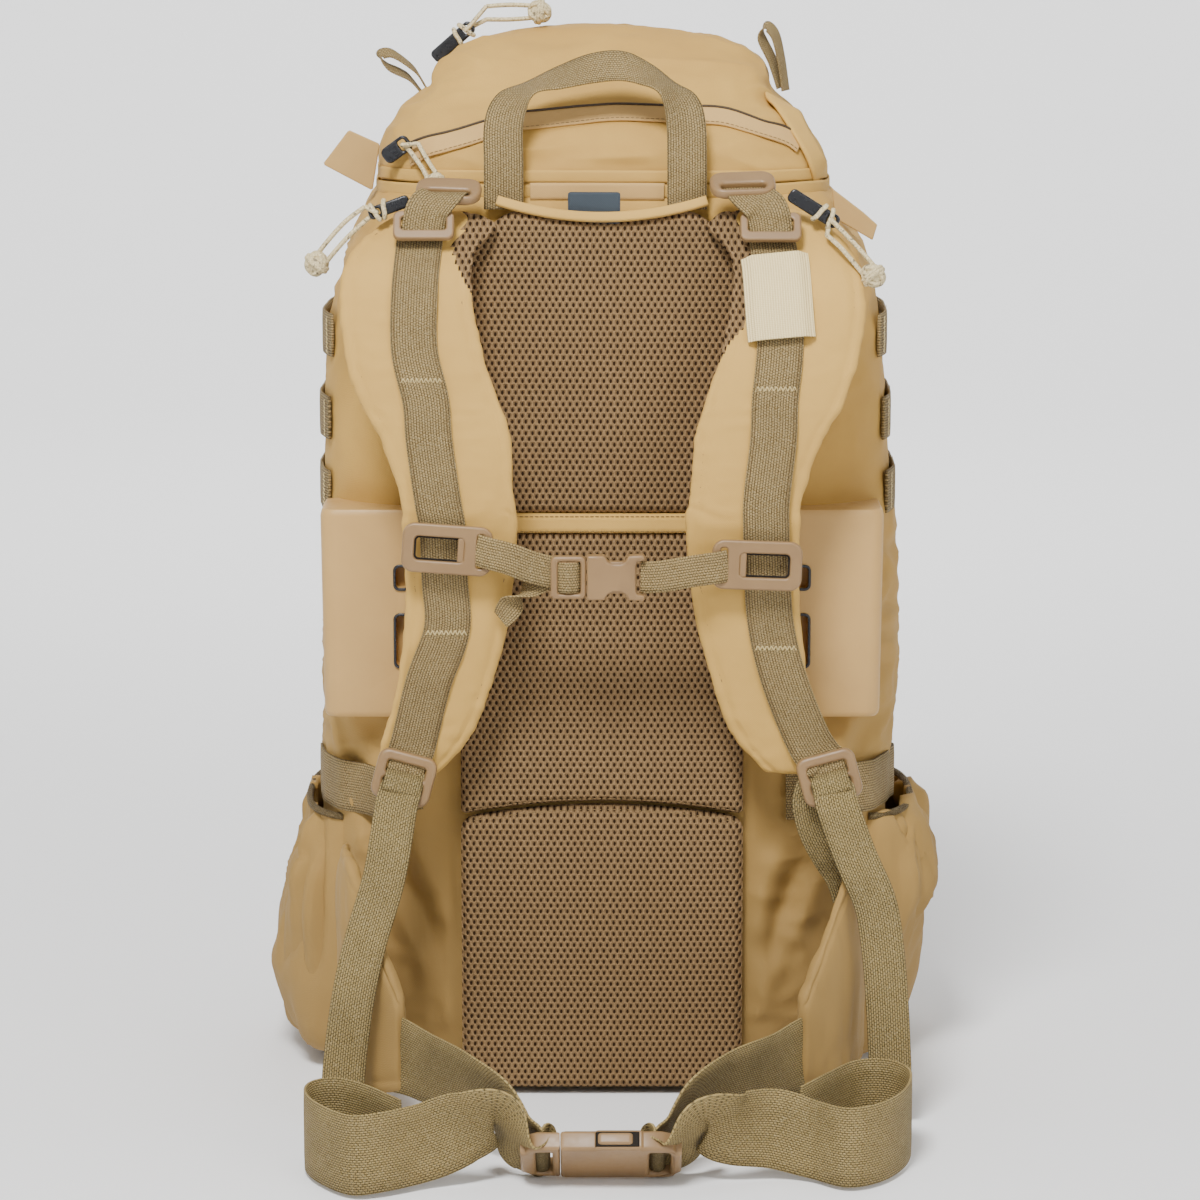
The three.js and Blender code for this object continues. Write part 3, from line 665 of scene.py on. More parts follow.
def tube(name, route, radius, material, body, steps=None, sides=12):
    """A round cord along a route; it also returns the points of its line, in metres."""
    line = [Vector(p) for p in catmull(route, steps or 14 * len(route))]
    points, uv, run = [], [], 0.0
    normal = Vector((0, 0, 1)) if abs((line[1] - line[0]).normalized().z) < 0.9 else Vector((1, 0, 0))
    for i, p in enumerate(line):
        along = (line[min(i + 1, len(line) - 1)] - line[max(i - 1, 0)]).normalized()
        normal = (normal - along * normal.dot(along)).normalized()
        other = along.cross(normal)
        if i:
            run += (p - line[i - 1]).length
        for k in range(sides):
            t = 2 * math.pi * k / sides
            points.append(p + (normal * math.cos(t) + other * math.sin(t)) * radius)
            uv.append((run * MM, k / sides))
    obj = make(name, points, skin_faces(len(line), sides), material, body, uv)
    return obj, [p * MM for p in line]


# ---------------------------------------------------------------- zip pulls and their cords

CORD_RADIUS = 1.5
# Bar length and height, which end the eye is at, place, tilt, cord route, and the knot's middle and size.
PULLS = {
    "dome": ((34, 9, 1), (-98, 8, 676), -41, [
        (-76, 8, 699), (-60, 8, 700), (-44, 8, 699), (-37.5, 8, 695.5), (-44, 8, 692), (-60, 8, 690.5),
        (-76, 8, 690.5),
    ], (-41, 8, 695.5), 8.5),
    "band": ((20, 11, 1), (-131, -88, 611), -36, [
        (-117, -93, 615), (-110, -104, 604), (-103.5, -114, 595), (-102.5, -118, 589.5),
        (-107.5, -115, 589.5), (-114, -104, 600), (-122, -93.5, 610),
    ], (-105, -116.5, 592), 6.5),
    "main_left": ((27, 8, -1), (-133, -149, 578.5), -20, [
        (-148, -150, 579), (-160, -151, 570), (-172, -151, 557), (-180, -150, 546), (-181.5, -150, 540),
        (-176, -150, 540.5), (-168, -151, 550), (-158, -151, 561), (-148, -150, 570),
    ], (-178.5, -150.5, 543.5), 8.5),
    "main_right": ((36, 9, 1), (132, -153, 578), 32, [
        (145, -158, 569), (156, -165, 558), (166, -168, 547), (172, -168, 539), (171, -168, 533.5),
        (165.5, -168, 535), (158.5, -168, 543), (149, -165, 554), (140, -159, 562),
    ], (168.5, -168, 537.5), 8.5),
}


def knot(name, centre, size, axis, body):
    """A ball knot: pairs of turns of the cord wound three ways over a core."""
    centre, axis = Vector(centre), Vector(axis).normalized()
    one = axis.orthogonal().normalized()
    two = axis.cross(one)
    r = size - CORD_RADIUS
    pieces = []
    for k, (pole, u) in enumerate(((axis, one), ((one + axis * 0.3).normalized(), two), (two, axis))):
        u = (u - pole * u.dot(pole)).normalized()
        w = pole.cross(u)
        route = []
        for i in range(97):
            t = i / 96 * 4 * math.pi
            drift = (i / 96 - 0.5) * 2.4 * CORD_RADIUS
            ring = math.sqrt(max(0.1, r * r - drift * drift)) * (1 - 0.05 * k)
            route.append(tuple(centre + pole * drift + (u * math.cos(t) + w * math.sin(t)) * ring))
        wound, _ = tube(f"{name}_{k}", route, CORD_RADIUS * 1.1, CORD, body, 200)
        pieces.append(wound)
    core = bpy.data.objects.new(name + "_core", bpy.data.meshes.new(name + "_core"))
    add_ball(core.data, centre, r * 0.9)
    core.data.materials.append(CORD)
    scene.collection.objects.link(core)
    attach(core, body)
    return [*pieces, core]


def add_ball(mesh, centre, radius, rings=12, sides=20):
    points, faces = [], []
    for i in range(1, rings):
        a = math.pi * i / rings
        for j in range(sides):
            b = 2 * math.pi * j / sides
            out = Vector((math.sin(a) * math.cos(b), math.sin(a) * math.sin(b), math.cos(a)))
            points.append((centre + out * radius) * MM)
    faces = skin_faces(rings - 1, sides, False)
    faces = [tuple(reversed(f)) for f in faces]
    faces.append(tuple(range(sides)))
    faces.append(tuple(reversed([(rings - 2) * sides + i for i in range(sides)])))
    mesh.from_pydata(points, [], faces)
    mesh.polygons.foreach_set("use_smooth", [True] * len(mesh.polygons))


def wrap_round(name, centre, along, out, half_width, half_depth, body, turns=1.0, slant=0.0):
    """A turn of cord round a flat bar: along is the bar's length, and out its thin side."""
    centre, along, out = Vector(centre), Vector(along).normalized(), Vector(out).normalized()
    side = along.cross(out).normalized()
    route = []
    for i in range(33):
        t = i / 32 * 2 * math.pi * turns
        a, b = math.cos(t), math.sin(t)
        route.append(tuple(
            centre + side * (half_width * math.copysign(abs(a) ** 0.6, a))
            + out * (half_depth * math.copysign(abs(b) ** 0.6, b)) + along * (slant * a)
        ))
    obj, _ = tube(name, route, CORD_RADIUS, CORD, body, 120)
    return obj


for pull, ((length, height, eye), at, tilt, route, centre, size) in PULLS.items():
    body = pull + "_zip" if pull in ("dome", "band") else pull.replace("main_", "main_zip_")
    cord_obj, line = tube(f"cord_{pull}", route, CORD_RADIUS, CORD, body, 20 * len(route))
    pieces = knot(f"knot_{pull}", centre, size, Vector(route[0]) - Vector(centre), body)
    along = Matrix.Rotation(math.radians(tilt), 3, "Y") @ Vector((1, 0, 0))
    hole = Vector(at) + along * (eye * (length / 2 - 5))
    start, end = Vector(route[0]), Vector(route[-1])
    link_route = [start, start.lerp(hole, 0.5) + Vector((0, -2.5, 0)), hole + Vector((0, -3.4, 0)), hole,
                  hole + Vector((0, 3.2, 0)), end.lerp(hole, 0.5) + Vector((0, 2.5, 0)), end]
    link, _ = tube(f"link_{pull}", [tuple(p) for p in link_route], CORD_RADIUS, CORD, body, 90)
    pieces.append(link)
    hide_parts(f"pull_cord_{pull}")
    bar = plate(f"pull_bar_{pull}", rounded(length, height, height * 0.35),
                [rounded(5, height - 4, 1.5, eye * (length / 2 - 5), 0)], 4, at, BLACK, body,
                0, tilt, 1.3)
    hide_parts(f"zip_pull_{pull}")
    for k, share in enumerate((0.12, 0.34)):
        spot = Vector(at) + along * (length * share * eye)
        if pull != "band":
            wrap_round(f"pull_wrap_{pull}_{k}", spot, along, (0, -1, 0), height / 2 + 1.2, 3.3, body, 1.0,
                       1.5 * (1 if k else -1))

# ---------------------------------------------------------------- bag, lid and pockets


def bag_keep(p):
    """Less movement under the panels, the pads and the straps, more down the open sides."""
    side = ease(abs(p.x), 100, 165)
    loose = 1 - ease(p.z, 215, 255)
    under = 0.2 + 0.8 * max(side, loose * ease(abs(p.x), 91, 112))
    rows = 1 - 0.65 * ease(p.z, 365, 385) * (1 - ease(p.z, 505, 520))
    return under * rows * ease(p.z, 0, 25) * (1 - 0.6 * ease(p.z, 560, 590))


def low_back(p):
    """Only the open cloth on each side of the lumbar pad, facing the harness."""
    return (ease(p.z, 12, 50) * (1 - ease(p.z, 215, 258)) * ease(abs(p.x), 92, 104)
            * (1 - ease(abs(p.x), 160, 176)) * ease(-p.y, 40, 90))


LINING = [(591, 2.5), (588, 4), (580, 6), (560, 9), (500, 12), (400, 14), (300, 14), (200, 14), (100, 14),
          (40, 16), (16, 30)]
OUTSIDE = 201 * 260
bag = loft("bag_cloth", BAG, 260, "pack", FABRIC, 200, lining=LINING)
rumple(bag,
       (70, 5.0, (1, 1, 1.6), False), (34, 2.6, (1, 1, 0.55), True), (16, 0.8, (1, 1, 1), False),
       keep=bag_keep, first=OUTSIDE)
rumple(bag, (52, 9.0, (0.8, 1, 3.2), False), (40, 3.0, (0.6, 1, 3.4), True), keep=low_back,
       first=OUTSIDE)
for v in bag.data.vertices[:OUTSIDE]:
    p = v.co * 1000
    reach = abs(p.x) - 96 - (p.z - 80) * 0.52
    fold = 5.5 * math.exp(-(((reach + 19) / 12) ** 2))
    fold -= 6 * math.exp(-((reach / 10) ** 2)) * ease(abs(p.x), 106, 116)
    fold += 3.5 * math.exp(-(((reach - 17) / 9) ** 2)) + 3.0
    v.co.y -= fold * low_back(p) * MM
bag.data.update()
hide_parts("bag_body")

lid = loft("lid_cloth", LID, 260, "lid", FABRIC, 90)


def band_height(x):
    """Height of the lid's front zip at x."""
    return between([(-125, 606), (-110, 613), (-52, 629), (11, 634), (75, 632), (118, 619), (132, 608)], x)


def between(stops, x):
    """A value between stops of (place, value), eased a little at each."""
    for (x0, z0), (x1, z1) in zip(stops, stops[1:]):
        if x0 <= x <= x1:
            t = (x - x0) / (x1 - x0)
            t = t * t * (3 - 2 * t) * 0.35 + t * 0.65
            return z0 + (z1 - z0) * t
    return stops[0][1] if x < stops[0][0] else stops[-1][1]


def lid_keep(p):
    near_zip = math.exp(-(((p.z - band_height(p.x)) / 13) ** 2)) if p.y < 0 else 0
    return ease(p.z, 588, 604) * (1 - 0.85 * near_zip)


rumple(lid, (85, 4.5, (1, 1, 0.7), False), (34, 2.6, (1.8, 1, 0.45), True), (13, 0.9, (1, 1, 1), False),
       keep=lid_keep)
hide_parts("lid_shell")

FRONT_POCKET = [
    (60, 104, 104, 131, 134), (64, 112, 112, 131, 142), (74, 126, 126, 131, 149), (120, 128, 128, 131, 152),
    (250, 127, 127, 131, 152), (380, 124, 124, 131, 151), (420, 112, 112, 131, 147),
    (436, 102, 102, 131, 140), (440, 96, 96, 131, 134),
]
front = loft("front_pocket_cloth", FRONT_POCKET, 160, "pack", FABRIC, 100, 5.0)
rumple(front, (60, 3.0, (1, 1, 1), False), (26, 1.6, (1, 1, 0.7), True),
       keep=lambda p: ease(p.y, 134, 146))
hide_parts("front_pocket")

# Height, reach and half length of a side pocket.
POCKET_ROWS = {
    "left": [(4, 16, 58), (9, 29, 71), (20, 36, 80), (50, 41, 84), (68, 42, 84), (98, 36, 84),
             (130, 27, 81), (156, 17, 77), (176, 13, 74)],
    "right": [(4, 14, 58), (9, 22, 71), (20, 27, 80), (50, 27, 84), (72, 28, 84), (98, 35, 84),
              (123, 40, 82), (152, 32, 78), (176, 19, 74)],
}


def pocket_point(side, z, turn, off=0.0):
    """A point of a pocket's skin: turn runs from -90 to 90 degrees, from its harness edge to its front."""
    reach, half = blend_rows(POCKET_ROWS[side], z)
    a = math.radians(turn)
    back = 16 * ease(-math.sin(a), 0.2, 1)
    y = 6 + (half + off) * math.sin(a) - back
    left, right, low, high = blend_rows(BAG, z)
    share = min(1.0, abs(y - (low + high) / 2) / ((high - low) / 2))
    base = (left if SIDES[side] < 0 else right) * (1 - share ** 3.6) ** (1 / 3.6)
    return Vector((SIDES[side] * (base - 1.5 + (reach + off) * max(0.0, math.cos(a)) ** 0.6), y, z))


for side, s in SIDES.items():
    count, rows = 60, 60
    points = []
    for wall in (0.0, -2.0):
        for i in range(rows + 1):
            z = 4 + 172 * i / rows
            for j in range(count + 1):
                points.append(pocket_point(side, z, -89 + 178 * j / count, wall))
    width, half_count = count + 1, (rows + 1) * (count + 1)
    faces = []
    for i in range(rows):
        for j in range(count):
            a = i * width + j
            face = (a, a + 1, a + width + 1, a + width)
            inner = (half_count + a, half_count + a + width, half_count + a + width + 1, half_count + a + 1)
            faces += [face, inner] if s > 0 else [face[::-1], inner[::-1]]
    edges = [i * width for i in range(rows, -1, -1)] + list(range(1, width))
    edges += [i * width + count for i in range(1, rows + 1)]
    for a, b in zip(edges, edges[1:]):
        face = (a, b, half_count + b, half_count + a)
        faces.append(face[::-1] if s > 0 else face)
    top = [rows * width + j for j in range(width)]
    for a, b in zip(top, top[1:]):
        face = (a, b, half_count + b, half_count + a)
        faces.append(face if s > 0 else face[::-1])
    pocket = make(f"side_pocket_cloth_{side}", points, faces, FABRIC, "pack")
    rumple(pocket, (55, 8.0, (1, 0.7, 1.8), False), (30, 3.0, (0.8, 0.8, 2.6), True),
           (12, 0.8, (1, 1, 1.5), False),
           keep=lambda p: ease(abs(p.x), 172, 196) * ease(p.z, 3, 14))
    rumple(pocket, (15, 6.5, (1.1, 1, 6.5), True), (34, 6.0, (1.2, 0.8, 4.0), False),
           keep=lambda p: ease(abs(p.x), 168, 186) * ease(p.z, 40, 150) * (1 - 0.6 * ease(p.z, 162, 175)))
    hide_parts(f"side_pocket_{side}")
    hem = [tuple(pocket_point(side, 175, -86 + 172 * j / 30, 0.2)) for j in range(31)]
    tube(f"side_pocket_hem_{side}", hem, 2.4, WEBBING, "pack", 90)

# ---------------------------------------------------------------- laying things on a surface


def surface(obj):
    """A search tree of a mesh that is done, in millimetres."""
    mesh = obj.data
    return BVHTree.FromPolygons([v.co * 1000 for v in mesh.vertices], [p.vertices for p in mesh.polygons])


def snapped(tree, point, off):
    """The point on the surface nearest to point, set out by off, and the way out there."""
    place, out, _, _ = tree.find_nearest(Vector(point))
    if (Vector(point) - place).dot(out) < -30:
        out = -out
    return place + out * off, out


def laid(name, tree, points, width, thick, material, body, off=None, smooth=3, across=None):
    """A strap laid along a surface: it follows the surface's way out, smoothed so that it bridges dips."""
    off = thick / 2 + 0.7 if off is None else off
    places = [snapped(tree, p, off) for p in points]
    for _ in range(smooth):
        places = [
            (
                (places[max(i - 1, 0)][0] + p * 2 + places[min(i + 1, len(places) - 1)][0]) / 4,
                (places[max(i - 1, 0)][1] + n * 2 + places[min(i + 1, len(places) - 1)][1]).normalized(),
            )
            for i, (p, n) in enumerate(places)
        ]
    stops = []
    for i, (p, n) in enumerate(places):
        lift = max(0.0, off - (p - snapped(tree, p, 0)[0]).dot(n))
        along = places[min(i + 1, len(places) - 1)][0] - places[max(i - 1, 0)][0]
        side = Vector(across) if across else n.cross(along.normalized())
        stops.append((*(p + n * lift), *side.normalized()))
    return ribbon(name, stops, width, thick, material, body, 3 * len(stops)), stops


def edge_rows(stops, width, inset, lift):
    """Two lines of points near a strap's edges, with the way out of its face."""
    placed = frames([tuple(s) for s in stops], 4 * len(stops))
    rows = []
    for s in (-1, 1):
        line = [c + side * (s * (width / 2 - inset)) + up * lift for c, side, up in placed]
        rows.append((line, [up if lift > 0 else -up for _, _, up in placed]))
    return rows


# ---------------------------------------------------------------- back panel, frame and side panels

PANEL_FACE = -135


def seam_rise(x):
    return 9 * (1 - min(1, (x / 91) ** 2))


def bend_seam(obj):
    """Lift the seam above the lumbar pad in its middle."""
    for v in obj.data.vertices:
        x, z = v.co.x * 1000, v.co.z * 1000
        v.co.z += seam_rise(x) * math.exp(-(((z - 185) / 26) ** 2)) * MM
    obj.data.update()


def face_of_panel(x, z):
    return PANEL_FACE + 0.6 * noise.noise(Vector((x / 60, 3, z / 60)))


upper_outline = [(52, 580), (-52, 580), (-62, 574), (-76, 560), (-88, 548), (-91, 530), (-91, 382),
                 (91, 382), (91, 530), (88, 548), (76, 560), (62, 574)]
upper = slab("back_mesh_upper", upper_outline, face_of_panel, 17, MESH, "pack", 7, 3, 1.5)
for v in upper.data.vertices:
    height = ease(v.co.z * 1000, 545, 580)
    v.co.z -= height * 9.5 * MM * (1 - min(1, (v.co.x / 0.07) ** 2))
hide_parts("back_pad_upper")
lip = [
    (x, -133.5 - 3.2 * (1 - (x / 66) ** 2), 571.5 + 9 * (x / 62) ** 2, 0, 0.35, 1)
    for x in range(-66, 67, 6)
]
ribbon("back_lip", lip, 6, 4.5, FABRIC_SMOOTH, "pack", 90)
middle = slab("back_mesh_middle", rounded(182, 185, 3, 0, 278.5), face_of_panel, 17, MESH, "pack",
              6, 3, 1.5)
bend_seam(middle)
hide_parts("back_pad_middle")
lumbar = slab("back_mesh_lumbar", rounded(182, 180, 8, 0, 94), face_of_panel, 17, MESH, "pack",
              7, 3, 3)
bend_seam(lumbar)
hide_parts("lumbar_pad")
slab("back_band", rounded(183, 14, 2, 0, 376.5), lambda x, z: PANEL_FACE - 0.2, 15, FABRIC_SMOOTH, "pack",
            3, 2)
for z, s in ((371.6, 1), (381.4, -1)):
    line = [Vector((x, PANEL_FACE - 0.3, z)) for x in range(-88, 89, 4)]
    stitching.row(("pack", "stitch"), line, [Vector((0, -1, 0))] * len(line))
for rise in (-3.5, 3.5):
    line = [Vector((x, PANEL_FACE - 0.6, 185.5 + rise + seam_rise(x))) for x in range(-86, 87, 4)]
    stitching.row(("pack", "stitch"), line, [Vector((0, -1, 0))] * len(line))

for node, material in (("frame_sheet", FRAME_SHEET), ("stay_left", ALLOY), ("stay_right", ALLOY)):
    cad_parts[node].data.materials.clear()
    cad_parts[node].data.materials.append(material)

for side, s in SIDES.items():
    outline = [(108, -130)]
    for a in range(0, 91, 15):
        turn = math.radians(a)
        outline.append((171 + 10 * math.sin(turn), -120 - 10 * math.cos(turn)))
    outline += [(181, -76), (176, -72), (108, -72)]
    points, rows = [], []
    for z, inset in ((250, 5), (251.5, 3.4), (254, 2.6), (380, 1), (383.4, 1.8), (384.6, 3.0), (385, 5)):
        cx, cy = 145, -101
        for x, y in outline:
            toward = Vector((cx - x, cy - y)).normalized() * inset
            points.append(Vector((s * (x + toward.x), y + toward.y, z)))
    faces = skin_faces(7, len(outline))
    if s < 0:
        faces = [f[::-1] for f in faces]
    panel = make(f"side_shell_{side}", points, faces, SHELL, "pack")
    cutters = []
    for x, z, h in ((128, 300, 33), (128, 341, 14)):
        hole = plate(f"cutter_{side}_{h}", rounded(8, h, 3, 0, 0), [], 24, (s * x, -130, z), BLACK, "pack",
                     bevel=0.01)
        cut = panel.modifiers.new("cut", "BOOLEAN")
        cut.object = hole
        cut.solver = "EXACT"
        cutters.append(hole)
    bpy.context.view_layer.update()
    done = bpy.data.meshes.new_from_object(panel.evaluated_get(bpy.context.evaluated_depsgraph_get()))
    panel.modifiers.clear()
    panel.data = done
    for hole in cutters:
        bpy.data.objects.remove(hole)
    crisp = panel.modifiers.new("crisp", "EDGE_SPLIT")
    crisp.split_angle = math.radians(32)
    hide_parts(f"side_panel_{side}")
    for k, (x, z, h) in enumerate(((128, 300, 33), (128, 341, 14))):
        plate(f"slot_rim_{side}_{k}", rounded(11, h + 3, 4, 0, 0), [rounded(7.4, h - 0.6, 2.6, 0, 0)], 1.6,
              (s * x, -129.4, z), BLACK, "pack", bevel=0.5)

# ---------------------------------------------------------------- webbing on the bag's sides

bag_tree, lid_tree = surface(bag), surface(lid)

for side, s in SIDES.items():
    first = None
    for k, z in enumerate((490, 436, 388)):
        points = [bag_point(z, -62 + 86 * i / 30, 4, s) for i in range(31)]
        strap, stops = laid(f"side_row_{side}_{k}", bag_tree, points, 28, 2.2, WEBBING, "pack", off=2.4,
                            smooth=6, across=(0, 0, 1))
        first = first or strap
        for x in (3, 12, 21, 28):
            p, n = snapped(bag_tree, stops[x][:3], 4.2)
            stitching.tack(("pack", "tack"), p, Vector((0, 0, 1)), n, 22, 16)
    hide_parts(f"side_webbing_{side}")
    points = [bag_point(197, 4 + 64 * i / 24, 3, s) for i in range(25)]
    strap, _ = laid(f"compression_{side}", bag_tree, points, 34, 2.2, WEBBING, "pack", off=2.2, smooth=6,
                    across=(0, 0, 1))
    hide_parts(f"compression_strap_{side}")

# ---------------------------------------------------------------- zip bands, label, tabs and loops


def lid_face(x, z):
    """The lid's harness side at x and z, before it is rumpled."""
    left, right, back, front_ = blend_rows(LID, z)
    half = right if x > 0 else left
    share = max(0.0, 1 - abs(x / half) ** 3.6) ** (1 / 3.6)
    return Vector((x, (back + front_) / 2 - (front_ - back) / 2 * share, z))


points = [(x, -112, 584.5) for x in range(-48, 43, 6)]
laid("main_zip_tape", bag_tree, points, 11, 1.6, ZIP_TAPE, "pack", 2.6, 2, (0, 0, 1))
points = [lid_face(x, band_height(x)) for x in range(-124, 129, 4)]
_, band_stops = laid("lid_zip_band", lid_tree, points, 17, 1.6, ZIP_TAPE, "lid", 1.0, 2)
band_edges = sorted(edge_rows(band_stops, 17, 1.6, -0.9), key=lambda row: row[0][0].z)
stitching.row(("lid", "stitch"), *band_edges[0])
tube("lid_zip_seam", [tuple(p) for p in band_edges[1][0][::3]], 0.9, ZIP_SEAM, "lid", 260, 8)
points = [oval(585, 148, 148, -112.5, 125, math.radians(a)) for a in range(-205, 26, 5)]
laid("main_zip_band", bag_tree, points, 8, 1.6, FABRIC_SMOOTH, "pack", 1.4, 3,
                            (0, 0, 1))
points = [oval(595, 146, 147, -109, 125, math.radians(a)) for a in range(-205, 26, 5)]
_, lid_stops = laid("lid_zip_edge", lid_tree, points, 8, 1.6, FABRIC_SMOOTH, "lid", 1.3, 3,
                    (0, 0, 1))
for line, outs in edge_rows(lid_stops, 8, 1.5, 0.9)[:2]:
    stitching.row(("lid", "stitch"), line, outs)

points = [lid_face(x, z) for x, z in ((112, 641), (118, 633), (125, 622), (131, 611), (136, 600),
                                      (139, 592))]
halves = [tuple(a + (b - a) * t) for a, b in zip(points, points[1:]) for t in (0, 0.5)]
points = [*halves, tuple(points[-1])]
laid("zip_garage", lid_tree, points, 22, 2.4, FABRIC_SMOOTH, "lid", 2.0, 2)

label = slab("label_patch", rounded(33, 20, 1.5, -5, 577), lambda x, z: -133.6 - 0.06 * (x + 5), 1.8,
             SLATE, "pack", 1.2, 1.2)
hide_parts("label_tab")

for name, quad, y in (("left", [(-143, 613), (-163, 622), (-180, 600), (-148, 583)], -62),
                      ("right", [(147, 586), (168, 570), (177, 562), (174, 552), (150, 566)], -75)):
    round_quad = []
    for i, p in enumerate(quad):
        a, b = quad[i - 1], quad[(i + 1) % len(quad)]
        for t in (0.14, 0.04):
            round_quad.append((p[0] + (a[0] - p[0]) * t, p[1] + (a[1] - p[1]) * t))
        for t in (0.04, 0.14):
            round_quad.append((p[0] + (b[0] - p[0]) * t, p[1] + (b[1] - p[1]) * t))
    tab = plate(f"side_tab_cloth_{name}", round_quad, [], 2.2, (0, y, 0), LAMINATE, "lid",
                bevel=0.9)
    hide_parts(f"side_tab_{name}")

LOOPS = {
    "left": [(-116, 8, 646), (-124, 8, 658), (-138, 8, 668), (-146, 8, 667), (-141, 8, 660), (-128, 8, 653),
             (-119, 8, 643)],
    "right": [(118, 8, 646), (112, 8, 664), (105, 8, 679), (108, 8, 686), (114, 8, 680), (118, 8, 664),
              (121, 8, 644)],
}
for side, stops in LOOPS.items():
    loop = ribbon(f"lash_loop_web_{side}", [(*p, 0.35 * SIDES[side], 0.8, 0.5) for p in stops], 11, 1.3,
                  WEBBING, "lid", steps=60)
    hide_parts(f"lash_loop_{side}")

# ---------------------------------------------------------------- grab handle

HANDLE_WIDE = 25
# Centre line and the way across: flat up each leg, folded on edge at the corners, and leaning at the top.
handle_line = [
    (-62, -125, 575.5, -1, 0, 0), (-62, -123, 604, -1, 0, 0), (-62, -118, 628, -1, 0.1, 0),
    (-57, -112, 642, -0.9, 0.45, 0.1), (-45, -108, 651, -0.35, 0.92, 0.15), (-27, -106, 657, 0, 0.85, 0.5),
    (-6, -105, 663, 0, 0.72, 0.69), (12, -105, 664.5, 0, 0.72, 0.69), (28, -106, 659, 0.1, 0.85, 0.5),
    (41, -109, 651, 0.45, 0.88, 0.15), (50, -113, 641, 0.95, 0.4, 0.1), (53, -118, 628, 1, 0.1, 0),
    (53.5, -123, 604, 1, 0, 0), (53.5, -125, 575.5, 1, 0, 0),
]
handle = ribbon("handle_webbing", handle_line, HANDLE_WIDE, 2.4, WEBBING, "handle", steps=110)
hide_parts("grab_handle")

# ---------------------------------------------------------------- shoulder harness

PAD_STOPS = [
    (577.5, -129, 78, 128), (570, -143, 66, 140), (553, -159, 80, 157), (530, -177, 81, 163),
    (494, -189, 74, 160), (463, -194, 64, 151), (438, -196, 57, 137), (401, -196, 54, 125),
    (382, -195, 52, 124), (324, -188, 58, 124), (271, -178, 72, 131), (244, -172, 84, 139),
    (220, -168, 104, 143),
]


def front_at(z):
    """The shoulder pads' front face at height z."""
    for (z1, y1, *_), (z0, y0, *_) in zip(PAD_STOPS, PAD_STOPS[1:]):
        if z0 <= z <= z1:
            return y0 + (y1 - y0) * (z - z0) / (z1 - z0)
    return PAD_STOPS[-1][1]


def shoulder_pad(side, s, steps=150, count=56, thick=12):
    line = catmull(PAD_STOPS, steps)
    points = []
    for i, (z, y, inner, outer) in enumerate(line):
        before, after = line[max(i - 1, 0)], line[min(i + 1, steps)]
        along = Vector((0, after[1] - before[1], after[0] - before[0])).normalized()
        out = Vector((0, along.z, -along.y))
        if out.y > 0:
            out = -out
        end = min(1.0, min(i, steps - i) / 5)
        close = math.sqrt(max(0.0, 1 - (1 - end) ** 2)) * 0.85 + 0.15
        middle, half = (inner + outer) / 2, (outer - inner) / 2 * (0.9 + 0.1 * close)
        for j in range(count):
            t = 2 * math.pi * j / count
            a = math.copysign(abs(math.cos(t)) ** 0.62, math.cos(t))
            b = math.copysign(abs(math.sin(t)) ** 0.62, math.sin(t))
            groove = 1 - 0.22 * math.exp(-(((abs(a) * half - (half - 6.5)) / 1.8) ** 2))
            depth = thick / 2 * b * groove * close
            centre = Vector((s * (middle + a * half), y, z)) - out * (thick / 2)
            points.append(centre + out * depth)
    faces = skin_faces(steps + 1, count)
    if s > 0:
        faces = [f[::-1] for f in faces]
    pad = make(f"shoulder_pad_cloth_{side}", points, faces, FABRIC_SMOOTH, "harness")
    pad.data.materials.append(MESH)
    for polygon in pad.data.polygons[:steps * count]:
        z = line[polygon.index // count][0]
        across = math.cos(2 * math.pi * (polygon.index % count + 0.5) / count)
        low = 484 if s > 0 else 522
        if across < 0.62 * ease(z, low, low + 45) - 1:
            polygon.material_index = 1
    rumple(pad, (38, 1.6, (1, 1, 1.4), False), (15, 0.7, (1, 1, 0.6), True))
    tree = surface(pad)
    for edge, inset in ((2, 6.5), (3, -6.5)):
        row = [Vector((s * (stop[edge] + inset), stop[1] + 1.2, stop[0])) for stop in line[4:steps - 3]]
        placed = [snapped(tree, p, 0.1) for p in row]
        stitching.row(("harness", "stitch"), [p for p, _ in placed], [n for _, n in placed])
    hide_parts(f"shoulder_pad_{side}")
    return pad


WEB_LINE = {
    "left": [(566, 113), (530, 116), (494, 116), (463, 109), (438, 107), (401, 102), (382, 99), (350, 98),
             (318, 97), (283, 109), (243, 119)],
    "right": [(566, 105), (530, 110), (494, 110), (463, 107), (438, 106), (401, 102), (382, 102),
              (350, 103), (318, 106), (283, 115), (243, 131)],
}
TRIGLIDES = {"left": (-111, -161, 568), "right": (105, -161, 567)}
LIFTERS = {"left": (-96, -141, 588), "right": (88, -141, 592)}
LOCKS = {"left": (125, 15), "right": (143.5, -15)}
ADJUSTERS = {
    "left": [
        (-124.5, -178, 225), (-125.8, -182, 219.5), (-127.5, -186.5, 213), (-130, -190, 203),
        (-137, -198, 162), (-148, -211, 125), (-155, -220, 95), (-160, -223, 62), (-163, -222, 32),
        (-163, -208, 14), (-161, -180, 9), (-159, -150, 8), (-160, -118, 12),
    ],
    "right": [
        (143.3, -178, 225), (144.8, -182, 219.5), (146.5, -186.5, 213), (149, -190, 203),
        (160, -195, 173), (172, -200, 145), (177, -203, 115), (180, -206, 80), (182, -206, 44),
        (183, -202, 22), (184, -186, 10), (184, -150, 8), (184, -118, 14),
    ],
}
TACKS = {"left": (475, 316), "right": (470, 306)}
pads = {}
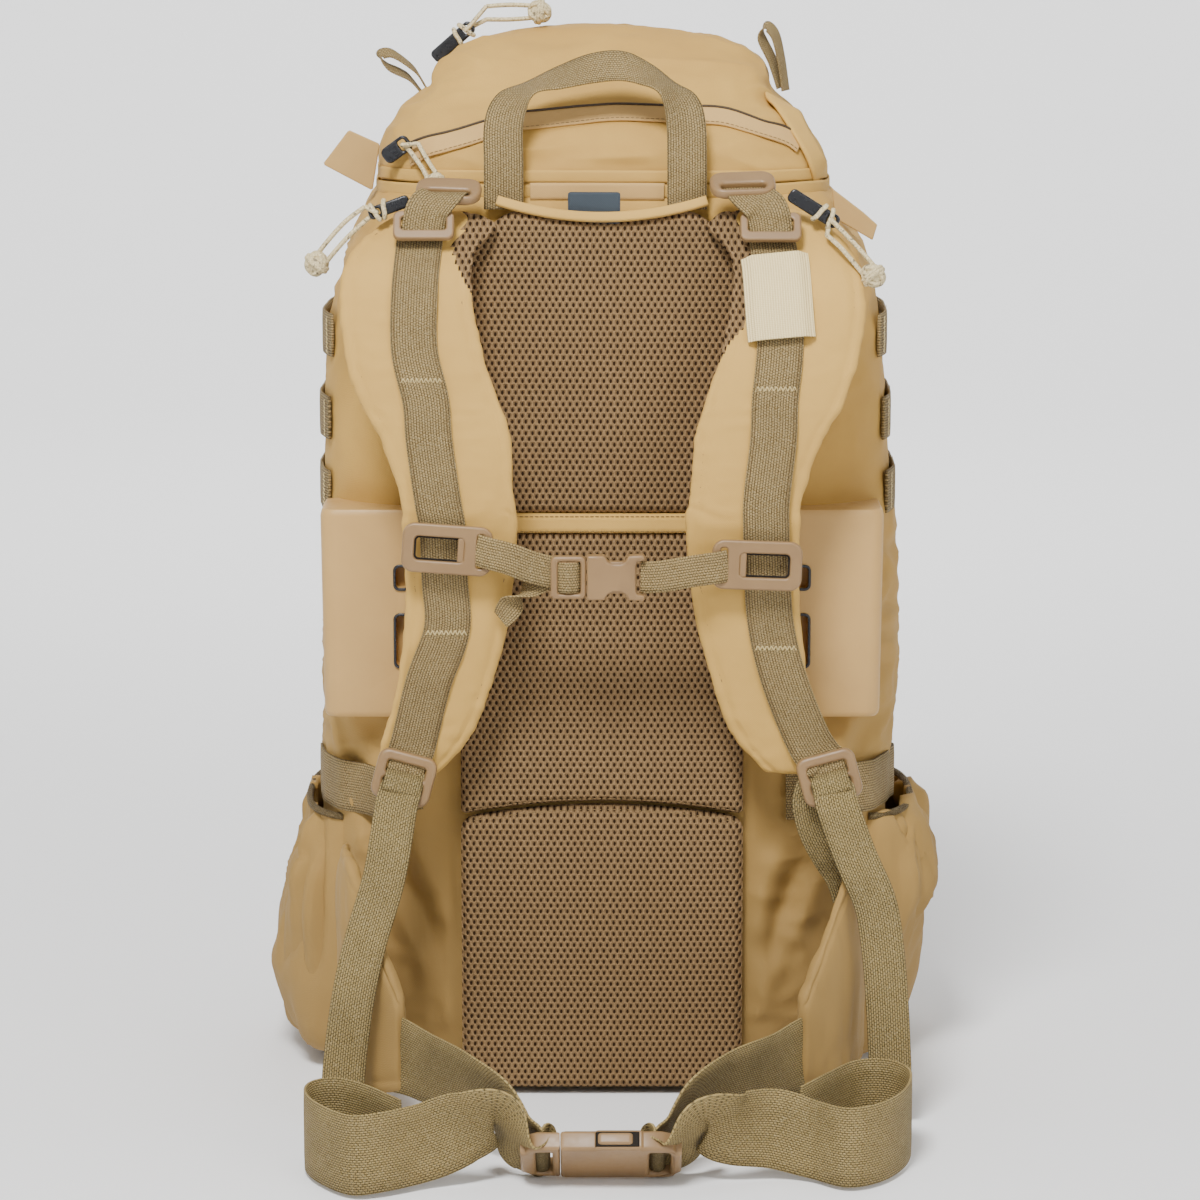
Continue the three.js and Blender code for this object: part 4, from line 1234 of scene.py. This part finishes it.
for side, s in SIDES.items():
    pads[side] = shoulder_pad(side, s)
    tree = surface(pads[side])
    stops = []
    for z, x in WEB_LINE[side]:
        stops.append((s * x, front_at(z) - 2.0, z))
    stops.append((s * LOCKS[side][0] - s * 1.5, -178, 230))
    web = ribbon(f"shoulder_web_{side}", stops, 29, 2, WEBBING, "harness", steps=150)
    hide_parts(f"shoulder_webbing_{side}")
    for line, outs in edge_rows(stops, 29, 2.2, -1.1):
        stitching.row(("harness", "stitch"), line, outs, 3.0, 2.0)
    for z in TACKS[side]:
        x = between(sorted((a, b) for a, b in WEB_LINE[side]), z)
        at = Vector((s * x, front_at(z) - 3.2, z))
        stitching.tack(("harness", "tack"), at, Vector((1, 0, 0)), Vector((0, -1, 0)), 24, 18)
    top, lifter = TRIGLIDES[side], LIFTERS[side]
    triglide = plate(f"triglide_{side}", rounded(38, 20, 4.5), [rounded(28, 9.5, 2, 0, 1)], 4.6, top,
                     PLASTIC, "harness", -35, 0, 1.2)
    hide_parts(f"shoulder_triglide_{side}")
    buckle = plate(f"lifter_{side}", rounded(41, 24, 9), [rounded(28, 7, 3, 0, -5)], 6.5, lifter, PLASTIC,
                   "pack", -62, s * -4, 2.2)
    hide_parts(f"load_lifter_buckle_{side}")
    strap = ribbon(f"lifter_strap_{side}", [
        (lifter[0], -137, lifter[2] - 1, 1, 0, 0), (lifter[0] * 0.75 + top[0] * 0.25, -150, 586, 1, 0, 0),
        (top[0] * 0.8 + lifter[0] * 0.2, -157, 579, 1, 0, 0), (top[0], -159.8, 568, 1, 0, 0),
        (top[0], -164, 559, 1, 0, 0),
    ], 27, 1.8, WEBBING, None, steps=40)
    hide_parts(f"load_lifter_strap_{side}")
    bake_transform(strap)
    x, tilt = LOCKS[side]
    slots = [rounded(25, 8, 2, 0, 5), rounded(25, 5, 1.6, 0, -5)]
    lock = plate(f"lock_{side}", rounded(38, 32, 7), slots, 7.5, (s * x, -180, 221.5), PLASTIC,
                 f"lock_{side}", -8, tilt, 2.3)
    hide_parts(f"ladderlock_{side}")
    lean, across = math.radians(tilt), (math.cos(math.radians(tilt)), 0, -math.sin(math.radians(tilt)))
    turn = [(s * x + h * math.sin(lean), y, 221.5 + h * math.cos(lean), *across)
            for h, y in ((2.5, -180), (0.5, -185.5), (-4, -187), (-8, -187.5), (-11, -183))]
    ribbon(f"lock_turn_{side}", turn, 24, 1.8, BELT_WEBBING, f"lock_{side}", steps=30)
    turn = [(s * x + h * math.sin(lean), y, 221.5 + h * math.cos(lean), *across)
            for h, y in ((12, -176.5), (9, -178.5), (4, -179.5), (1, -178))]
    ribbon(f"lock_web_{side}", turn, 24, 1.8, WEBBING, f"lock_{side}", steps=30)
    adjuster = ribbon(f"adjuster_{side}", ADJUSTERS[side], 27, 2, BELT_WEBBING, None, steps=150)
    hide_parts(f"adjuster_strap_{side}")
    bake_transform(adjuster)

back_run = ribbon("adjuster_back_right", [
    (137, -176, 216, 1, 0, -0.2), (134, -174, 204, 1, 0, -0.3), (138, -170, 186, 1, 0.1, -0.3),
    (147, -165, 168, 1, 0.2, -0.3), (155, -160, 155, 1, 0.3, -0.2), (160, -158, 140, 1, 0.3, -0.1),
], 27, 2, BELT_WEBBING, None, steps=60)
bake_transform(back_run)

keeper_stops = [(107, -167, 549), (108, -172, 541), (109, -181, 526), (110, -187, 511), (111, -190, 500)]
keeper = ribbon("keeper_elastic", keeper_stops, 42, 2.0, ELASTIC, "keeper", 60, -5.0)
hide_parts("elastic_keeper")

# ---------------------------------------------------------------- sternum strap

STERNUM_Y = -204
for side, s in SIDES.items():
    z = 371 if s < 0 else 361
    holes = [rounded(31, 15, 3, s * 5, 0), rounded(4, 21, 1.5, s * -20.5, 0)]
    slider = plate(f"slider_{side}", rounded(56, 31, 7.5), holes, 4.5, (s * 96, STERNUM_Y, z), PLASTIC,
                   "sternum", 0, 4 if s < 0 else 2, 1.5)
    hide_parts(f"sternum_slider_{side}")
    tilt = 4 if s < 0 else 2
    # painted shade: a near-black ring lines the slider's window, standing in for the shade in the gap
    # behind it
    plate(f"slider_gap_shade_{side}", rounded(31.5, 15.5, 3, s * 5, 0), [rounded(28.6, 12.6, 2, s * 5, 0)], 1.2,
          (s * 96, STERNUM_Y + 0.6, z), PAINTED_SHADE_GAP, "sternum", 0, tilt, 0.3)
    plate(f"slider_pin_{side}", rounded(4.2, 15.5, 1, s * -8.6, 0), [], 2.6, (s * 96, STERNUM_Y - 0.2, z),
          PLASTIC, "sternum", 0, tilt, 0.9)
left_strap = [(-78, -205, 371), (-70, -208, 369), (-58, -209, 366), (-45, -208, 361), (-34.5, -207, 358),
              (-29, -206, 357)]
right_strap = [(24, -206, 354), (29, -207, 354), (38, -209, 355), (56, -209, 358), (71, -208, 360),
               (78, -205, 361)]
strap = ribbon("sternum_web_left", [(*p, 0, 0, 1) for p in left_strap], 20, 2, WEBBING, None, steps=60)
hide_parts("sternum_strap_left")
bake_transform(strap)
strap = ribbon("sternum_web_right", [(*p, 0, 0, 1) for p in right_strap], 20, 2, WEBBING, "sternum",
               steps=60)
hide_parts("sternum_strap_right")
socket_outline = [(-18, 13), (-17, 14), (-7, 14), (-5, 10.5), (-2, 9), (3, 9), (6, 10.5), (8, 14),
                  (16.5, 14.5), (18, 13.5), (18, 11), (13.5, 10), (12.5, 8), (12.5, -8), (13.5, -10),
                  (18, -11), (18, -13.5), (16.5, -14.5), (8, -14), (6, -10.5), (3, -9), (-2, -9),
                  (-5, -10.5), (-7, -14), (-17, -14), (-18, -13)]
socket = plate("sternum_buckle_socket", socket_outline, [], 9, (8.5, -207, 354), PLASTIC, "sternum",
               bevel=1.6)
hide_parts("sternum_socket")
plate("sternum_buckle_inside", rounded(24, 20, 3), [], 6, (6, -206.5, 354), PLASTIC, "sternum",
               bevel=1)
plug = plate("sternum_buckle_plug", rounded(22, 27, 3.5), [rounded(14, 20, 1.5, 0.5, 0)], 7,
             (-20.9, -207, 354), PLASTIC, "sternum_clip", bevel=1.6)
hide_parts("sternum_plug")
ribbon("sternum_loop", [(-30, -204, 354, 0, 0, 1), (-26, -209, 354, 0, 0, 1), (-21, -211, 354, 0, 0, 1),
                        (-16, -209, 354, 0, 0, 1), (-13, -204, 354, 0, 0, 1)], 19, 1.8, WEBBING,
       "sternum_clip", steps=40)
for dz in (-8, 8):
    plate(f"sternum_prong_{'low' if dz < 0 else 'high'}", rounded(17, 4, 1.5), [], 4,
          (-3, -207, 354 + dz), PLASTIC, "sternum_clip", bevel=0.8)
ribbon("sternum_tail", [
    (-33, -201.5, 354, 0.2, 0, 1), (-43, -200.5, 348, 0.4, 0.3, 0.9), (-52, -200, 341, 0.7, 0.5, 0.5),
    (-58, -199.5, 333, 0.9, -0.2, 0.4), (-63, -198.5, 326, 0.8, -0.5, 0.5),
], 16, 1.6, WEBBING, "sternum", steps=50)

# ---------------------------------------------------------------- hip wings and belt

WING_STOPS = [(171, -117, 30, 166), (170, -150, 24, 170), (161, -184, 22, 162), (147, -204, 23, 134),
              (128, -218, 27, 88)]


def hip_wing(side, s, steps=70, count=70, thick=10):
    line = catmull(WING_STOPS, steps)
    points = []
    for i, (x, y, low, high) in enumerate(line):
        before, after = line[max(i - 1, 0)], line[min(i + 1, steps)]
        along = Vector((after[0] - before[0], after[1] - before[1], 0)).normalized()
        inward = Vector((along.y, -along.x, 0))
        close = math.sqrt(max(0.0, 1 - (1 - min(1, min(i, steps - i) / 3)) ** 2)) * 0.8 + 0.2
        middle, half = (low + high) / 2, (high - low) / 2 * (0.96 + 0.04 * close)
        for j in range(count):
            t = 2 * math.pi * j / count
            a = math.copysign(abs(math.cos(t)) ** 0.55, math.cos(t))
            b = math.copysign(abs(math.sin(t)) ** 0.55, math.sin(t))
            groove = 1 - 0.25 * math.exp(-(((abs(b) * half - (half - 7)) / 2) ** 2))
            p = Vector((x, y, middle + b * half)) + inward * (thick / 2 * (1 + a * groove * close))
            points.append(Vector((s * p.x, p.y, p.z)))
    faces = skin_faces(steps + 1, count)
    if s < 0:
        faces = [f[::-1] for f in faces]
    wing = make(f"hip_wing_cloth_{side}", points, faces, FABRIC, None)
    rumple(wing, (45, 2.4, (1, 1, 1), False), (18, 1.1, (1, 1, 1.5), True))
    return wing


for side, s in SIDES.items():
    wing = hip_wing(side, s)
    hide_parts(f"hip_wing_{side}")
    tree = surface(wing)
    line = [stop for stop in catmull(WING_STOPS, 60) if stop[1] < -172]
    row = [(s * (x - 12), y + 4, high - 8) for x, y, low, high in line[:-4]]
    x, y, low, high = line[-5]
    row += [(s * (x - 12), y + 4, high - 8 - (high - low - 16) * k / 8) for k in range(1, 9)]
    row = [snapped(tree, p, 0.1) for p in row]
    stitching.row(("belt", "stitch"), [p for p, _ in row], [n for _, n in row])
    row = [snapped(tree, (s * (146 - 14 * k / 12), -196 - 16 * k / 12, 106 - 62 * k / 12),
                   0.1) for k in range(13)]
    stitching.row(("belt", "stitch"), [p for p, _ in row], [n for _, n in row], 2.4, 1.9)
    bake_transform(wing)

LEANT = (0, -0.77, 0.64)
UP = (0, 0, 1)
BELT = {
    "left": [
        (-141, -199, 50, 0.1, 0, 1), (-131, -210, 50, 0.1, 0, 1), (-121, -221, 49.5, 0.05, -0.1, 1),
        (-104, -244, 48, 0, -0.2, 1), (-80, -277, 47.7, 0, -0.4, 0.9), (-58, -300, 42.5, 0, -0.6, 0.8),
        (-45, -311, 30, *LEANT), (-38, -315.5, 24.5, *LEANT), (-35, -319, 20.5, *LEANT),
        (-40, -322.5, 20.5, *LEANT), (-50, -327, 25.5, *LEANT), (-63, -331, 44.9, 0, -0.6, 0.8),
        (-82, -331, 39.2, 0, -0.25, 1), (-106, -334, 30.2, *UP), (-133, -350, 28.5, *UP),
        (-152, -351, 27.5, *UP), (-172, -326, 27.5, *UP), (-181, -300, 27.5, *UP), (-178, -281, 28, *UP),
        (-164, -274, 28, *UP), (-147, -285, 27.5, *UP), (-130, -308, 27.5, *UP), (-122, -320, 27.5, *UP),
    ],
    "right": [
        (141, -199, 50, -0.1, 0, 1), (131, -210, 50, -0.1, 0, 1), (121, -221, 49.5, -0.05, -0.1, 1),
        (104, -244, 48, 0, -0.2, 1), (76, -277, 49.0, 0, -0.4, 0.9), (54, -300, 43.7, 0, -0.6, 0.8),
        (41, -311, 30, *LEANT), (34, -315.5, 24.5, *LEANT), (31, -319, 20.5, *LEANT),
        (36, -322.5, 20.5, *LEANT), (48, -327, 25.5, *LEANT), (62, -330, 41.4, 0, -0.6, 0.8),
        (80, -324, 35.9, 0, -0.25, 1), (104, -316, 33, *UP), (126, -320, 28, *UP), (148, -337, 27.5, *UP),
        (170, -324, 27.5, *UP), (186, -294, 28, *UP), (190, -262, 30, *UP), (178, -244, 31, *UP),
        (158, -246, 31, *UP), (138, -272, 30, *UP), (122, -296, 29, *UP),
    ],
}
belt = ribbon("belt_web_left", BELT["left"], 50, 2, BELT_WEBBING, None, steps=260)
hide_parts("belt_webbing_left")
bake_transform(belt)
belt = ribbon("belt_web_right", BELT["right"], 50, 2, BELT_WEBBING, "belt", steps=260)
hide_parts("belt_webbing_right")

BUCKLE = (-326, 20, 50)
WAIST = (BUCKLE[0], BUCKLE[1])
socket_outline = [(-36.5, 21), (-34, 22), (-16, 22), (-14.5, 23.4), (12, 23.4), (13.5, 22), (25, 22),
                  (31, 18.5), (33, 14), (36.5, 13), (36.5, -14), (32, -17), (25, -21.5), (20, -22),
                  (-34, -22), (-36.5, -21)]
waist = plate("waist_buckle_socket", socket_outline, [rounded(13, 33, 2, 23.5, -1)], 13, (11.5, *WAIST),
              PLASTIC, "belt", BUCKLE[2], 0, 2.4)
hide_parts("waist_socket")
plug_outline = [(12, 21.5), (-2, 21.5), (-7, 18.5), (-9, 14), (-12, 13), (-12, -14), (-8, -17), (-2, -21),
                (12, -21.5)]
waist_plug = plate("waist_buckle_plug", plug_outline, [rounded(10, 32, 2, 2.5, -1)], 12, (-37.4, *WAIST),
                   PLASTIC, "waist_clip", BUCKLE[2], 0, 2.2)
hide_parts("waist_plug")
lean_up = Vector(LEANT)
press = Vector((0, *WAIST)) + lean_up * 19.6
# painted shade: a near-black plate round the press tab stands in for the shade in its recess
plate("waist_press_recess_shade", rounded(27, 9, 2), [], 9.6, (9.5, press.y, press.z), PAINTED_SHADE_GAP, "belt",
      BUCKLE[2], 0, 0.5)
press = Vector((0, *WAIST)) + lean_up * 20.8
plate("waist_press_tab", rounded(22, 9, 3), [], 8, (8, press.y, press.z), PLASTIC, "belt",
      BUCKLE[2], 0, 2)
for name, x, body in (("left", -36.4, "waist_clip"), ("right", 33.5, "belt")):
    middle = Vector((x, *WAIST))
    ends = [middle + lean_up * (15.5 * t / 10) for t in range(-10, 11)]
    tube(f"waist_roll_{name}", [tuple(p) for p in ends], 5.2, BELT_WEBBING, body, 20, 24)

# ---------------------------------------------------------------- floor, light and finish

stitching.finish()


def light(name, place, size, power, target=(0, -0.1, 0.33)):
    data = bpy.data.lights.new(name, "AREA")
    data.shape = "DISK"
    data.size = size
    data.energy = power
    obj = bpy.data.objects.new(name, data)
    scene.collection.objects.link(obj)
    obj.location = place
    aim(obj, target)
    obj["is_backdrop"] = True


def studio():
    n = Nodes("floor")
    material = n.finish((0.93, 0.93, 0.93), None, 0.9)
    mesh = bpy.data.meshes.new("floor")
    profile = [(1.0, 0.0), (3.6, 0.0)]
    for a in range(10, 91, 10):
        turn = math.radians(a)
        profile.append((3.6 + 1.6 * math.sin(turn), 1.6 - 1.6 * math.cos(turn)))
    profile += [(5.2, 4.0)]
    points = [
        (r * math.cos(math.pi * k / 48), r * math.sin(math.pi * k / 48), z)
        for r, z in profile for k in range(96)
    ]
    faces = [face[::-1] for face in skin_faces(len(profile), 96, False)]
    faces.append(tuple(range(96)))
    mesh.from_pydata(points, [], faces)
    mesh.materials.append(material)
    mesh.polygons.foreach_set("use_smooth", [True] * len(faces))
    floor = bpy.data.objects.new("floor", mesh)
    scene.collection.objects.link(floor)
    floor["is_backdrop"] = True
    world = bpy.data.worlds.new("world")
    world.use_nodes = True
    world.node_tree.nodes["Background"].inputs["Color"].default_value = (1, 1, 1, 1)
    world.node_tree.nodes["Background"].inputs["Strength"].default_value = 0.40
    scene.world = world
    light("key", (-0.40, -1.8, 2.3), 0.7, 98)
    light("fill", (1.5, -2.4, 1.2), 1.4, 18)
    light("top", (0.2, 0.1, 2.4), 1.2, 8)
    light("backdrop", (0, 1.6, 3.2), 1.5, 170, (0, 5.2, 1.2))


studio()
low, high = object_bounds()
